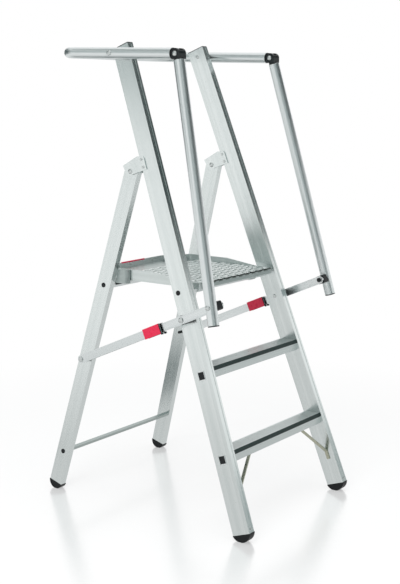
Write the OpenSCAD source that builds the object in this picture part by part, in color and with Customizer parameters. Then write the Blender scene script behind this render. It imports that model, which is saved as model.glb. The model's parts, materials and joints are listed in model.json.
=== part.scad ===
// Folding podium step: two treads, a hinged deck, a guard rail and a rear support frame.
// Millimetres. +X is the climber's right, +Y points to the rear, +Z is up.
// The origin is on the floor, in the middle of the footprint.

/* [Front frame] */
// Lean of the front frame from upright, degrees
front_lean = 20.1; // [18:0.1:22]
// Inward lean of each stile in its frame, degrees
taper = 3.185; // [2.5:0.005:3.6]
// Half of the outer width at the bottom cut of the front stiles
foot_half_w = 299; // [290:1:310]
// Length of the front stiles along the frame
stile_len = 1579.4; // [1560:0.2:1600]
// Depth of a front stile, front to rear
stile_d = 65; // [62:0.5:72]
// Thickness of a front stile, side to side
stile_t = 26; // [24:0.5:28]
// Wall of the stile extrusions
stile_wall = 2.2; // [1.6:0.1:3]
// Width of the shallow groove down the front of a stile
groove_w = 9; // [6:0.5:12]
// Depth of that groove
groove_d = 0.8; // [0.4:0.1:1.2]
// Thickness of the caps on the stile tops
cap_t = 2.5; // [1.5:0.5:4]

/* [Feet] */
// How far a front foot stands below its stile
front_foot_drop = 25; // [22:0.5:34]
// How far a rear foot stands below its stile
rear_foot_drop = 25; // [22:0.5:27]
// How far a foot stands proud of its stile all round
foot_lip = 1.5; // [1:0.25:2.5]
// Height of the flat that a foot stands on, measured up its round sole
foot_flat = 0.8; // [0.5:0.1:1.5]
// How far a foot plugs into its stile
plug_in = 25; // [15:1:40]
// How far an end cap plugs into its stile, above the rail's bolt
cap_in = 18; // [8:1:21]

/* [Treads] */
// Height of the lower tread above the floor
first_tread = 272; // [260:1:285]
// Rise from one tread to the next
rise = 250; // [240:1:260]
// Depth of a tread's top, front to rear
tread_d = 55; // [48:1:60]
// Height of a tread's section
tread_h = 36; // [30:1:40]
// Wall of the tread extrusion
tread_wall = 2; // [1.5:0.1:3]
// How far the nose of a tread stands behind the front of the stiles, level
nose_back = 2.5; // [1:0.5:6]
// Width of a square-edged plug, front to rear
square_plug = 18; // [10:0.5:22]
// Height of a square-edged plug
square_plug_h = 22; // [10:0.5:26]
// Radius of a round plug
round_plug_r = 7; // [5:0.5:9]
// How far a plug stands proud
plug_proud = 1.5; // [1:0.25:3]
// Width of a tread stay
stay_w = 12; // [9:0.5:15]
// Thickness of a tread stay
stay_t = 3; // [2:0.5:4]

/* [Frame hinge] */
// Distance of the frame hinge behind the front of the stiles
hinge_depth = 114; // [112:0.5:118]
// Distance of the frame hinge up the front frame
hinge_along = 1189.4; // [1170:0.2:1210]
// Radius of the hinge pins
hinge_pin_r = 6; // [5:0.25:7]
// Thickness of the bracket sheet
bracket_t = 3; // [2:0.5:3.5]

/* [Rear frame] */
// Lean of the rear frame from upright, degrees
rear_lean = 15.8; // [14.5:0.1:17]
// Depth of a rear stile
rear_d = 53.5; // [50:0.5:55]
// Thickness of a rear stile
rear_t = 22; // [20:0.25:22.5]
// Distance of the deck's rest tube below the frame hinge
rest_below = 393; // [388:0.5:398]
// Distance of the lower cross bar below the frame hinge
cross_bar_below = 996; // [980:1:1030]
// Height of the lower cross bar
cross_bar_h = 10; // [8:0.5:28]
// Depth of the lower cross bar
cross_bar_d = 13; // [10:0.5:46]
// Wall of the lower cross bar
cross_bar_wall = 2.5; // [2:0.25:3.5]

/* [Deck] */
// Width of the deck tray
deck_w = 410; // [396:1:412]
// Distance of the deck's front edge ahead of its hinge
deck_front = 48; // [42:1:54]
// Distance of the deck's rear edge behind its hinge
deck_rear = 365; // [355:1:375]
// Length of the cut rear corners, along the sides
corner_back = 62; // [50:1:75]
// Width of the cut rear corners, across the deck
corner_in = 91; // [80:1:100]
// Sheet thickness of the deck
deck_sheet = 2.5; // [1.5:0.25:3]
// Height of the raised edge above the floor of the deck
deck_rim = 18; // [14:0.5:22]
// Depth of the skirt below the floor's top
deck_skirt = 17.5; // [15:0.5:20]
// Radius of the tube that the deck rests on
deck_tube_r = 14; // [12:0.5:15]
// Radius of the tube that the deck hinges on
pivot_tube_r = 8; // [7:0.5:12]
// Wall of the deck's cross tubes
deck_tube_wall = 2; // [1.5:0.25:3]
// Distance of the deck's hinge behind the front of the stiles
deck_hinge_depth = 45; // [42:0.5:48]
// Distance of the deck's hinge up the front frame
deck_hinge_along = 769.9; // [758:0.1:776]
// Number of ribs across the deck
rib_count = 11; // [8:1:12]
// Width of a rib
rib_w = 6; // [4:0.5:9]
// Height of a rib
rib_h = 1.5; // [1:0.25:2.5]

/* [Side arms and braces] */
// Distance of the arm pivot behind the front of the stiles
arm_pivot_depth = 32.5; // [30:0.5:36]
// Distance of the arm pivot up the front frame
arm_pivot_along = 684.4; // [675:0.2:690]
// Distance of the brace pivot below the frame hinge
brace_pivot_below = 652; // [648:1:660]
// Distance of the brace pivot ahead of the middle of the rear stiles
brace_pivot_ahead = 8; // [0:0.5:10]
// Length of an arm ahead of its pivot
arm_front = 159.5; // [158:0.5:161]
// Length of an arm behind its pivot, to the knee
arm_rear = 156; // [155:0.5:159]
// Thickness of an arm
arm_t = 6; // [5:0.5:7]
// Height of an arm
arm_h = 26; // [22:1:28]
// Distance of the middle of the arms from the middle of the step
arm_half_w = 293; // [291:0.5:297]
// Height of a brace
brace_h = 27; // [25:0.5:29]
// Width of a brace
brace_w = 16; // [14:0.5:17]
// Wall of a brace
brace_wall = 2; // [1.5:0.25:2.5]
// Radius of the pivot bolts
bolt_r = 5; // [4:0.25:6]
// Radius of the knee pins
knee_pin_r = 4; // [3:0.25:4.5]
// Radius of the black spacer bushes
bush_r = 15; // [13:0.5:16]

/* [Knee locks] */
// Length of a lock sleeve
lock_len = 70; // [66:1:82]
// Distance of a sleeve's middle ahead of the knee, when locked
lock_ahead = 34; // [31:0.5:36]
// Wall of a lock sleeve
lock_wall = 2.7; // [2:0.1:3.5]
// Running gap between a lock sleeve and its brace
lock_gap = 0.3; // [0.2:0.05:0.5]
// Length of the black catch at the front of a sleeve
catch_len = 4; // [3:0.5:9]

/* [Guard rail] */
// Outer radius of the rail and the drop tubes
tube_r = 17.5; // [16:0.25:18.5]
// Wall of those tubes
tube_wall = 1.6; // [1.2:0.1:2.5]
// Height of the elbow pins above the floor
rail_z = 1478; // [1470:1:1490]
// Rise of the rail towards its back, degrees
rail_tilt = 1.6; // [0:0.1:3]
// Half of the distance between the rail's sides, middle to middle
rail_half_w = 258; // [254:0.5:262]
// Distance of the elbow pins behind the front of the stiles' feet
elbow_y = 302; // [297:0.5:305]
// Distance of the rail's back behind the front of the stiles' feet
rail_back_y = 790; // [745:1:800]
// Radius of the bends at the back, at the tube's middle
rail_bend_r = 70; // [55:1:90]
// Distance of a drop tube's top ahead of the elbow pin
drop_ahead = 1; // [0:0.5:4]
// Half of the distance between the drop tubes at the arm bolts
drop_half_w = 335.5; // [331:0.5:340]
// Length of a drop tube below its arm bolt
drop_below = 56; // [45:1:65]

/* [Fits] */
// Radial clearance of a turning pin
run_gap = 0.05; // [0.02:0.01:0.1]
// Gap between faces that move past each other
face_gap = 0.3; // [0.2:0.05:0.5]
// Gap round a plug or a fixed bolt
fit_gap = 0.1; // [0.05:0.05:0.2]

/* [Hidden] */
$fn = 48;
// Oversize of cutting solids
reach = 2500;

// Feet: round soles, worked out from the drop and the stile's depth
front_sole_half = stile_d / 2 + foot_lip;
front_sole_r = (pow(front_sole_half, 2) + pow(front_foot_drop, 2)) / (2 * front_foot_drop);
rear_sole_half = rear_d / 2 + foot_lip;
rear_sole_r = (pow(rear_sole_half, 2) + pow(rear_foot_drop, 2)) / (2 * rear_foot_drop);
// Height of the front bottom corner of a front stile above the floor
front_corner_z = front_sole_r - foot_flat + stile_d / 2 * sin(front_lean)
    - (front_sole_r - front_foot_drop) * cos(front_lean);
// Height of the middle of a rear stile's bottom cut above the floor
rear_cut_z = rear_sole_r - foot_flat - (rear_sole_r - rear_foot_drop) * cos(rear_lean);

// A point of the front frame, as [y, z] from the front bottom corner of a front stile
function front_pt(depth, along) = [
    depth * cos(front_lean) + along * sin(front_lean),
    front_corner_z - depth * sin(front_lean) + along * cos(front_lean)];
hinge = front_pt(hinge_depth, hinge_along);
rear_len = (hinge[1] - rear_cut_z) / cos(rear_lean);
// A point of the rear frame, below the hinge on the middle of the stiles
function rear_pt(below, ahead = 0) = [
    hinge[0] + below * sin(rear_lean) - ahead * cos(rear_lean),
    hinge[1] - below * cos(rear_lean) - ahead * sin(rear_lean)];
// Middle of the footprint, from the foremost and rearmost points of the soles
front_sole = front_pt(stile_d / 2, front_sole_r - front_foot_drop);
rear_sole = rear_pt(rear_len - rear_sole_r + rear_foot_drop);
y_mid = (front_sole[0] - front_sole_r + rear_sole[0] + rear_sole_r) / 2;

// Outer and inner faces of a front stile, from the middle of the step
function front_outer_x(along) = foot_half_w - along * tan(taper);
function front_inner_x(along) = front_outer_x(along) - stile_t / cos(taper);
// Middle of both stiles at the frame hinge
hinge_x = front_outer_x(hinge_along) - stile_t / 2 / cos(taper);

// Linkage points, as [y, z]
arm_pivot = front_pt(arm_pivot_depth, arm_pivot_along);
brace_pivot = rear_pt(brace_pivot_below, brace_pivot_ahead);
link_angle = atan2(brace_pivot[1] - arm_pivot[1], brace_pivot[0] - arm_pivot[0]);
function on_link(d) = arm_pivot + d * [cos(link_angle), sin(link_angle)];
arm_end = on_link(-arm_front);
knee = on_link(arm_rear);
brace_len = norm(brace_pivot - knee);
deck_hinge = front_pt(deck_hinge_depth, deck_hinge_along);
deck_rest = rear_pt(rest_below);
elbow = [elbow_y, rail_z];
// The rail's bolt: where the rail's line crosses the middle of the stiles
bolt_rise = (front_pt(stile_d / 2, 0)[0] - elbow_y) * tan(rail_tilt) + rail_z - front_pt(stile_d / 2, 0)[1];
rail_bolt = front_pt(stile_d / 2, bolt_rise / (cos(front_lean) - tan(rail_tilt) * sin(front_lean)));
drop_top = [rail_half_w, elbow_y - drop_ahead, rail_z];
drop_bolt = [drop_half_w, arm_end[0], arm_end[1]];
drop_dir = (drop_bolt - drop_top) / norm(drop_bolt - drop_top);
drop_len = norm(drop_bolt - drop_top) + drop_below;

// Faces of the arms, braces and bushes, from the middle of the step
arm_in = arm_half_w - arm_t / 2;
arm_out = arm_half_w + arm_t / 2;
brace_in = arm_half_w - brace_w / 2;
brace_out = arm_half_w + brace_w / 2;

// Deck heights
rest_sleeve_r = deck_tube_r + 4;
skirt_z = deck_rest[1] + rest_sleeve_r + face_gap;
floor_z = skirt_z + deck_skirt;
rim_z = floor_z + deck_rim;

// Fastener heads
head_r = 9;
head_t = 4;
small_rivet_r = 2.5;
small_head_r = 4.5;
small_head_t = 2;

// Colours, as the photograph shows them
aluminium = "#ccd2d1";
tube_metal = "#d3d8d9";
zinc = "#a9aa98";
black = "#15191b";
red = "#cf2046";

// Places and helpers

// Side 1 is the climber's right, side -1 the left
module on_side(side) {
    if (side > 0) children();
    else mirror([1, 0, 0]) children();
}

module both_sides() {
    children();
    mirror([1, 0, 0]) children();
}

// Moves from the front foot's corner to the middle of the footprint
module place() translate([0, -y_mid, 0]) children();

// Front frame: x across, y from the stiles' front, z up the frame
module front_place() place() translate([0, 0, front_corner_z]) rotate([-front_lean, 0, 0]) children();

// A right front stile: x = 0 on its outer face, negative inwards
module front_stile_place() front_place() translate([foot_half_w, 0, 0]) rotate([0, -taper, 0]) children();

// Rear frame: origin on the hinge axis, z up the frame
module rear_place() place() translate([0, hinge[0], hinge[1]]) rotate([rear_lean, 0, 0]) children();

// A right rear stile: x = 0 on its middle
module rear_stile_place() rear_place() translate([hinge_x, 0, 0]) rotate([0, -taper, 0]) children();

// A flat shape drawn in [y, z] about a point, running along X from x0 to x1
module along_x(at, x0, x1) {
    place() translate([x0, at[0], at[1]]) rotate([90, 0, 90]) linear_extrude(x1 - x0) children();
}

module rod_x(at, r, x0, x1) along_x(at, x0, x1) circle(r);

// Everything outside a right front stile's outer face, and inside its inner face
module outside_front() {
    front_stile_place() translate([0, -reach, -reach]) cube([reach, 2 * reach, 2 * reach]);
}
module inside_front() {
    front_stile_place() translate([-stile_t - reach, -reach, -reach]) cube([reach, 2 * reach, 2 * reach]);
}

// Everything outside a right rear stile's outer face, and inside its inner face
module outside_rear() {
    rear_stile_place() translate([rear_t / 2, -reach, -reach]) cube([reach, 2 * reach, 2 * reach]);
}
module inside_rear() {
    rear_stile_place() translate([-rear_t / 2 - reach, -reach, -reach]) cube([reach, 2 * reach, 2 * reach]);
}

// Space between the inner faces of the two front stiles, or the two rear ones
module between_front() {
    intersection() {
        inside_front();
        mirror([1, 0, 0]) inside_front();
    }
}
module between_rear() {
    intersection() {
        inside_rear();
        mirror([1, 0, 0]) inside_rear();
    }
}

// Everything above the floor, and everything below a height
module above_floor() translate([-reach, -reach, 0]) cube([2 * reach, 2 * reach, reach]);
module below(z) translate([-reach, -reach, -reach]) cube([2 * reach, 2 * reach, reach + z]);

// A slab of the front frame between two distances up the frame
module front_slab(z0, z1) {
    front_place() translate([-reach, -reach, z0]) cube([2 * reach, 2 * reach, z1 - z0]);
}

module box_section(w, d, wall) {
    difference() {
        translate([-w / 2, -d / 2]) square([w, d]);
        translate([-w / 2 + wall, -d / 2 + wall]) square([w - 2 * wall, d - 2 * wall]);
    }
}

// Flat bar with round ends, from x = x0 to x1, with end radius h / 2
module round_bar(x0, x1, h) {
    translate([x0, -h / 2]) square([x1 - x0, h]);
    translate([x0, 0]) circle(h / 2);
    translate([x1, 0]) circle(h / 2);
}

// A bolt or rivet head with a lowered dome: two steps, the outer one smaller
module head(at, r, t, x0, out) {
    step = out ? t * 0.6 : -t * 0.6;
    end = out ? t : -t;
    rod_x(at, r, min(x0, x0 + step), max(x0, x0 + step));
    rod_x(at, r * 0.75, min(x0 + step, x0 + end), max(x0 + step, x0 + end));
}

// Front stiles and feet

// Places of the plugs on a front stile, as [depth, along]
tread_plug_drop = 27;
tread_plug_back = 23;
function tread_top(i) = first_tread + i * rise;
function tread_nose(i) = (tread_top(i) - front_corner_z) * tan(front_lean) + nose_back;
function to_front(p) = [
    p[0] * cos(front_lean) - (p[1] - front_corner_z) * sin(front_lean),
    p[0] * sin(front_lean) + (p[1] - front_corner_z) * cos(front_lean)];
function tread_plug_at(i) = to_front([tread_nose(i) + tread_plug_back, tread_top(i) - tread_plug_drop]);
deck_plug_at = [deck_hinge_depth, deck_hinge_along];
// Rivets of a hinge bracket, as [depth, along]
bracket_front = 46;
bracket_rise = 30;
bracket_top = hinge_along + bracket_rise;
rivet_depth = 58;
rivet_down = 4;
rivet_up = 22;
rivet_along = [hinge_along - rivet_down, hinge_along + rivet_up];
// Distances up the leaning stile are a little longer than up the frame
bracket_shift = hinge_along / cos(taper) - hinge_along;

module square_plug_shape(grow) square([square_plug + grow, square_plug_h + grow], center = true);

module on_outer_face(at) {
    front_stile_place() translate([0, at[0], at[1] / cos(taper)]) rotate([90, 0, 90]) children();
}

// A bracket rivet's place on the outer face
module on_bracket(at) {
    front_stile_place() translate([0, at[0], at[1] + bracket_shift]) rotate([90, 0, 90]) children();
}

module front_stile() {
    difference() {
        intersection() {
            front_stile_place() translate([-stile_t / 2, stile_d / 2, -reach / 2]) linear_extrude(2 * reach)
                box_section(stile_t, stile_d, stile_wall);
            front_slab(0, stile_len);
        }
        front_stile_place() translate([-stile_t / 2 - groove_w / 2, -groove_d, -reach / 2])
            cube([groove_w, 2 * groove_d, 2 * reach]);
        for (i = [0, 1]) on_outer_face(tread_plug_at(i)) translate([0, 0, -stile_wall - 1])
            linear_extrude(stile_wall + 2) square_plug_shape(0);
        on_outer_face(deck_plug_at) translate([0, 0, -stile_wall - 1])
            cylinder(r = round_plug_r, h = stile_wall + 2);
        rod_x(arm_pivot, bolt_r + fit_gap, 0, reach);
        rod_x(rail_bolt, bolt_r + fit_gap, 0, reach);
        for (z = rivet_along) on_bracket([rivet_depth, z]) translate([0, 0, -2 * stile_t])
            cylinder(r = small_rivet_r + fit_gap, h = 4 * stile_t);
    }
}

module left_front_stile() color(aluminium) on_side(-1) front_stile();
module right_front_stile() color(aluminium) on_side(1) front_stile();

// Plug that fills a stile's hollow, in the stile's own place
module front_spigot(z0, z1) {
    inner_w = stile_t - 2 * (stile_wall + fit_gap);
    inner_d = stile_d - 2 * (stile_wall + fit_gap);
    intersection() {
        front_stile_place() translate([-stile_t / 2 - inner_w / 2, stile_d / 2 - inner_d / 2, z0 - stile_t])
            cube([inner_w, inner_d, z1 - z0 + 2 * stile_t]);
        front_slab(z0, z1);
    }
}

module front_stile_caps() color(black) both_sides() {
    front_spigot(stile_len - cap_in, stile_len);
    front_place() translate([front_inner_x(stile_len), 0, stile_len])
        cube([stile_t / cos(taper), stile_d, cap_t]);
}

// Foot with a round sole, flat where it stands; the block is cut at the floor
module sole(r, drop, x0, x1) {
    intersection() {
        translate([x0, 0, r - drop]) rotate([0, 90, 0]) cylinder(r = r, h = x1 - x0, $fn = 96);
        translate([x0 - 1, -reach, -reach]) cube([x1 - x0 + 2, 2 * reach, reach]);
    }
}

module front_foot() {
    intersection() {
        front_place() translate([0, stile_d / 2, 0])
            sole(front_sole_r, front_foot_drop, front_inner_x(0) - foot_lip, front_outer_x(0) + foot_lip);
        above_floor();
    }
    front_spigot(0, plug_in);
}

module front_left_foot() color(black) on_side(-1) front_foot();
module front_right_foot() color(black) on_side(1) front_foot();

// Treads, nosings and stays

// Section of a tread in [y, z] from its nose at the top; the nose slopes back to the top face
nose_drop = 8.2;
nose_slope = 5;
tread_chin = 20;
function tread_section(inset) = [
    [inset, -tread_h + inset],
    [inset, -nose_drop],
    [nose_slope + inset / 2, -inset],
    [tread_d - inset, -inset],
    [tread_d - inset, -tread_h + tread_chin - inset / 2],
    [tread_d - tread_chin - inset / 2, -tread_h + inset]];
// Groove for the nosing strip along the sloped nose
nosing_t = 1.2;
nosing_inset = 0.5;
nose_angle = atan2(nose_drop, nose_slope);
nose_face = norm([nose_drop, nose_slope]);

module nosing_shape(i) {
    translate([0, -nose_drop]) rotate(nose_angle) translate([nosing_inset, -nosing_t])
        square([nose_face - 2 * nosing_inset, 2 * nosing_t]);
}

module tread(i) {
    intersection() {
        along_x([tread_nose(i), tread_top(i)], -foot_half_w, foot_half_w) difference() {
            polygon(tread_section(0));
            polygon(tread_section(tread_wall));
            nosing_shape(i);
        }
        between_front();
    }
}

// The ends of a tread's top are relieved, so that a board laid on it clears the leaning stiles
end_relief = 0.6;
module relieved_tread(i) {
    difference() {
        tread(i);
        intersection() {
            along_x([tread_nose(i), tread_top(i)], -foot_half_w, foot_half_w)
                translate([-1, -end_relief]) square([tread_d + 2, 2 * end_relief]);
            both_sides() front_stile_place() translate([-stile_t - end_relief, -reach, -reach])
                cube([reach, 2 * reach, 2 * reach]);
        }
    }
}

module lower_tread() color(aluminium) relieved_tread(0);
module upper_tread() color(aluminium) relieved_tread(1);

module tread_nosings() color("#2f3b3c") for (i = [0, 1]) intersection() {
    along_x([tread_nose(i), tread_top(i)], -foot_half_w, foot_half_w) intersection() {
        polygon(tread_section(0));
        nosing_shape(i);
    }
    between_front();
}

module front_plugs() color(black) both_sides() {
    for (i = [0, 1]) on_outer_face(tread_plug_at(i)) {
        linear_extrude(plug_proud) square_plug_shape(2);
        translate([0, 0, -stile_wall]) linear_extrude(stile_wall) square_plug_shape(-2 * fit_gap);
    }
    on_outer_face(deck_plug_at) {
        cylinder(r = round_plug_r + 1, h = plug_proud);
        translate([0, 0, -stile_wall]) cylinder(r = round_plug_r - fit_gap, h = stile_wall);
    }
}

// Stay: a strap from the underside of the lower tread to a tab on the stile's inner face
stay_top_x = 150;
stay_low_along = 117.4;
stay_depth = 20;
stay_tab = 28;
module tread_stays() color(zinc) both_sides() {
    top_z = tread_top(0) - tread_h;
    top_along = to_front([tread_nose(0) + stay_depth, top_z])[1];
    low = [front_inner_x(stay_low_along) - stay_t, stay_low_along];
    run = [stay_top_x, top_along] - low;
    side = [run[1], -run[0]] * stay_t / 2 / norm(run);
    top = low + run * (1 + stay_tab / norm(run));
    tab_low = stay_low_along - stay_tab;
    bend = stay_low_along + stay_t;
    intersection() {
        front_place() translate([0, stay_depth + stay_w, 0]) rotate([90, 0, 0]) linear_extrude(stay_w)
            polygon([
                [front_inner_x(tab_low), tab_low], [front_inner_x(bend), bend], top + side, top - side,
                low, [front_inner_x(tab_low) - stay_t, tab_low]]);
        below(top_z);
    }
}

module deck_pivot_tube() color(tube_metal) intersection() {
    along_x(deck_hinge, -foot_half_w, foot_half_w) difference() {
        circle(pivot_tube_r);
        circle(pivot_tube_r - deck_tube_wall);
    }
    between_front();
}

// Frame hinge brackets: two cheeks on a front stile, joined by a strap over the rear stile's top

// Inner face of the strap, from the hinge axis
strap_clear = 28.2;
strap_t = 2;
strap_tilt = -8.5;
// Reach of the cheeks under the strap, ahead of the hinge and behind it
cheek_ahead = 46;
cheek_behind = 20;
// Reach of the cheeks below the hinge and behind it, at the hinge's own height
cheek_below = 12;
cheek_rear = 20;
// The strap ends a little behind the cheeks' front
strap_ahead = 42;
// A corner of the cheeks at the strap's outer face, as [depth, along]
function strap_corner(d) = [
    hinge_depth + d * cos(strap_tilt) - (strap_clear + strap_t) * sin(strap_tilt),
    hinge_along + d * sin(strap_tilt) + (strap_clear + strap_t) * cos(strap_tilt)];

module bracket_cheek() {
    difference() {
        polygon([
            [bracket_front, hinge_along - cheek_below - 2],
            [hinge_depth, hinge_along - cheek_below],
            [hinge_depth + cheek_rear * 0.65, hinge_along - cheek_below * 0.6],
            [hinge_depth + cheek_rear, hinge_along + 2],
            strap_corner(cheek_behind),
            strap_corner(-cheek_ahead),
            [bracket_front + 3, bracket_top],
            [bracket_front, bracket_top - 8]]);
        for (z = rivet_along) translate([rivet_depth, z]) circle(small_rivet_r + fit_gap);
    }
}

// Bracket outlines are drawn in [depth, along] and stand parallel to the stile's side
module bracket_sheet(x0, x1) {
    on_bracket([0, 0]) translate([0, 0, x0]) linear_extrude(x1 - x0) children();
}

module hinge_bracket() {
    difference() {
        union() {
            bracket_sheet(0, bracket_t) bracket_cheek();
            bracket_sheet(-stile_t - bracket_t, -stile_t) bracket_cheek();
            bracket_sheet(-stile_t - bracket_t, bracket_t)
                translate([hinge_depth, hinge_along]) rotate(strap_tilt)
                    translate([-strap_ahead, strap_clear]) square([strap_ahead + cheek_behind, strap_t]);
        }
        rod_x(hinge, hinge_pin_r + fit_gap / 2, 0, reach);
    }
}

module left_hinge_bracket() color(aluminium) on_side(-1) hinge_bracket();
module right_hinge_bracket() color(aluminium) on_side(1) hinge_bracket();

module bracket_rivets() color(zinc) both_sides() for (z = rivet_along)
    on_bracket([rivet_depth, z]) {
        translate([0, 0, bracket_t]) cylinder(r = small_head_r, h = small_head_t);
        translate([0, 0, -stile_t - bracket_t]) cylinder(r = small_rivet_r, h = stile_t + 2 * bracket_t);
        translate([0, 0, -stile_t - bracket_t - small_head_t]) cylinder(r = small_head_r, h = small_head_t);
    }

// Cheeks of the bracket, as solids to trim the pin's heads against
module past_cheeks() {
    difference() {
        translate([0, -reach, 0]) cube([reach, 2 * reach, reach]);
        front_stile_place() translate([-stile_t - bracket_t, -reach, -reach])
            cube([stile_t + 2 * bracket_t, 2 * reach, 2 * reach]);
    }
}

module hinge_pins() color(zinc) both_sides() {
    half = stile_t / 2 + bracket_t + 1;
    rod_x(hinge, hinge_pin_r, hinge_x - half, hinge_x + half);
    intersection() {
        union() {
            head(hinge, head_r, head_t, hinge_x + half - 1, true);
            head(hinge, head_r, head_t, hinge_x - half + 1, false);
        }
        past_cheeks();
    }
}

// Pivots of the arms and the guard rail on the front stiles

module arm_bushes() color(black) both_sides() intersection() {
    along_x(arm_pivot, 0, arm_in - face_gap) difference() {
        circle(bush_r);
        circle(bolt_r + fit_gap);
    }
    outside_front();
}

// A bolt through a stile: a head outside at x1, and a rivet head on the stile's inner face
module stile_bolt(at, x1) {
    inner_x = front_inner_x(to_front(at)[1]);
    rod_x(at, bolt_r, inner_x - 1, x1);
    head(at, head_r, head_t, x1, true);
    intersection() {
        rod_x(at, head_r * 0.8, inner_x - small_head_t, inner_x + 2);
        inside_front();
    }
}

module arm_pivot_bolts() color(zinc) both_sides() stile_bolt(arm_pivot, arm_out + face_gap);

module rail_bushes() color(black) both_sides() intersection() {
    along_x(rail_bolt, 0, rail_half_w - tube_r - face_gap) difference() {
        circle(bush_r);
        circle(bolt_r + fit_gap);
    }
    outside_front();
}

module rail_pivot_bolts() color(zinc) both_sides() stile_bolt(rail_bolt, rail_half_w + tube_r + face_gap);

// Rear frame

// The plug over the bar's bolt sits a little below the bar
bar_plug_drop = 17;
rear_plug_bar = [0, -cross_bar_below - bar_plug_drop];
rear_plug_rest = [0, -rest_below];

module on_rear_outer(at) {
    rear_stile_place() translate([rear_t / 2, at[0], at[1] / cos(taper)]) rotate([90, 0, 90]) children();
}

module rear_slab(z0, z1) rear_place() translate([-reach, -reach, z0]) cube([2 * reach, 2 * reach, z1 - z0]);

module rear_stile() {
    inner_d = rear_d - 2 * stile_wall;
    difference() {
        union() {
            intersection() {
                rear_stile_place() translate([0, 0, -2 * reach]) linear_extrude(2 * reach)
                    translate([-rear_t / 2, -rear_d / 2]) square([rear_t, rear_d]);
                rear_slab(-rear_len, 0);
            }
            intersection() {
                rear_stile_place() translate([-rear_t / 2, -rear_d, -rear_d])
                    cube([rear_t, 2 * rear_d, 2 * rear_d]);
                rod_x(hinge, rear_d / 2, 0, reach);
            }
        }
        rear_stile_place() translate([-rear_t / 2 + stile_wall, -inner_d / 2, -2 * reach])
            cube([rear_t - 2 * stile_wall, inner_d, 2 * reach - rear_d / 2]);
        rod_x(hinge, hinge_pin_r + run_gap, 0, reach);
        rod_x(brace_pivot, bolt_r + fit_gap, hinge_x, reach);
        for (at = [rear_plug_bar, rear_plug_rest]) on_rear_outer(at) translate([0, 0, -stile_wall - 1])
            cylinder(r = round_plug_r, h = stile_wall + 2);
    }
}

module left_rear_stile() color(aluminium) on_side(-1) rear_stile();
module right_rear_stile() color(aluminium) on_side(1) rear_stile();

module rear_spigot() {
    inner_w = rear_t - 2 * (stile_wall + fit_gap);
    inner_d = rear_d - 2 * (stile_wall + fit_gap);
    intersection() {
        rear_stile_place() translate([-inner_w / 2, -inner_d / 2, -rear_len - 2 * rear_t])
            cube([inner_w, inner_d, plug_in + 4 * rear_t]);
        rear_slab(-rear_len, -rear_len + plug_in);
    }
}

module rear_foot() {
    low_x = hinge_x + rear_len * tan(taper);
    half = rear_t / 2 / cos(taper) + foot_lip;
    intersection() {
        rear_place() translate([0, 0, -rear_len])
            sole(rear_sole_r, rear_foot_drop, low_x - half, low_x + half);
        above_floor();
    }
    rear_spigot();
}

module rear_left_foot() color(black) on_side(-1) rear_foot();
module rear_right_foot() color(black) on_side(1) rear_foot();

module deck_rest_tube() color(tube_metal) intersection() {
    along_x(deck_rest, -foot_half_w, foot_half_w) difference() {
        circle(deck_tube_r);
        circle(deck_tube_r - deck_tube_wall);
    }
    between_rear();
}

// Rubber saddles on the tube, that the deck's skirt rests on
sleeve_len = 35;
sleeve_out = deck_w / 2 + 1;
sleeve_down = 3;
module rest_sleeves() color(black) both_sides()
    along_x(deck_rest, sleeve_out - sleeve_len, sleeve_out) difference() {
        circle(rest_sleeve_r);
        circle(deck_tube_r + fit_gap);
        translate([-reach / 2, -reach - sleeve_down]) square(reach);
    }

// Deck guides: curved plates from the rear stiles round to the deck's sides
guide_t = 3;
guide_r = 19;
guide_gap = 1.5;
guide_low = skirt_z - 10;
guide_rear = 60;
guide_out = 16;
guide_ahead = 21;
module deck_guides() color(aluminium) both_sides() {
    in_x = deck_w / 2 + guide_gap;
    stile_y = rear_pt((hinge[1] - floor_z) / cos(rear_lean))[0];
    bend_y = stile_y - rear_d / 2 / cos(rear_lean) - guide_ahead;
    arc = [for (a = [-90:10:0]) [cos(a), sin(a)]];
    outer = [for (p = arc) [in_x, bend_y] + guide_r * p];
    inner = [for (i = [len(arc) - 1:-1:0]) [in_x, bend_y] + (guide_r - guide_t) * arc[i]];
    flare_x = in_x + guide_r + guide_out;
    flare = [[flare_x, bend_y + guide_rear], [flare_x - guide_t, bend_y + guide_rear]];
    intersection() {
        place() translate([0, 0, guide_low]) linear_extrude(rim_z - guide_low)
            polygon(concat(outer, flare, inner));
        inside_rear();
    }
}

module lower_cross_bar() color(aluminium) intersection() {
    rear_place() translate([-foot_half_w, -rear_d / 2, -cross_bar_below - cross_bar_h / 2]) difference() {
        cube([2 * foot_half_w, cross_bar_d, cross_bar_h]);
        translate([-1, cross_bar_wall, -1])
            cube([2 * foot_half_w + 2, cross_bar_d, cross_bar_h - cross_bar_wall + 1]);
    }
    between_rear();
}

module rear_plugs() color(black) both_sides() for (at = [rear_plug_bar, rear_plug_rest]) on_rear_outer(at) {
    cylinder(r = round_plug_r + 1, h = plug_proud);
    translate([0, 0, -stile_wall]) cylinder(r = round_plug_r - fit_gap, h = stile_wall);
}

// Spacer bushes between the rear stiles and the braces, with a stub in the stile's wall
module brace_bushes() color(black) both_sides() {
    intersection() {
        rod_x(brace_pivot, bush_r - 2, hinge_x, brace_in - face_gap);
        outside_rear();
    }
    rod_x(brace_pivot, bolt_r, hinge_x + rear_t / 2, brace_in - face_gap - 1);
}

// Deck

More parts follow.
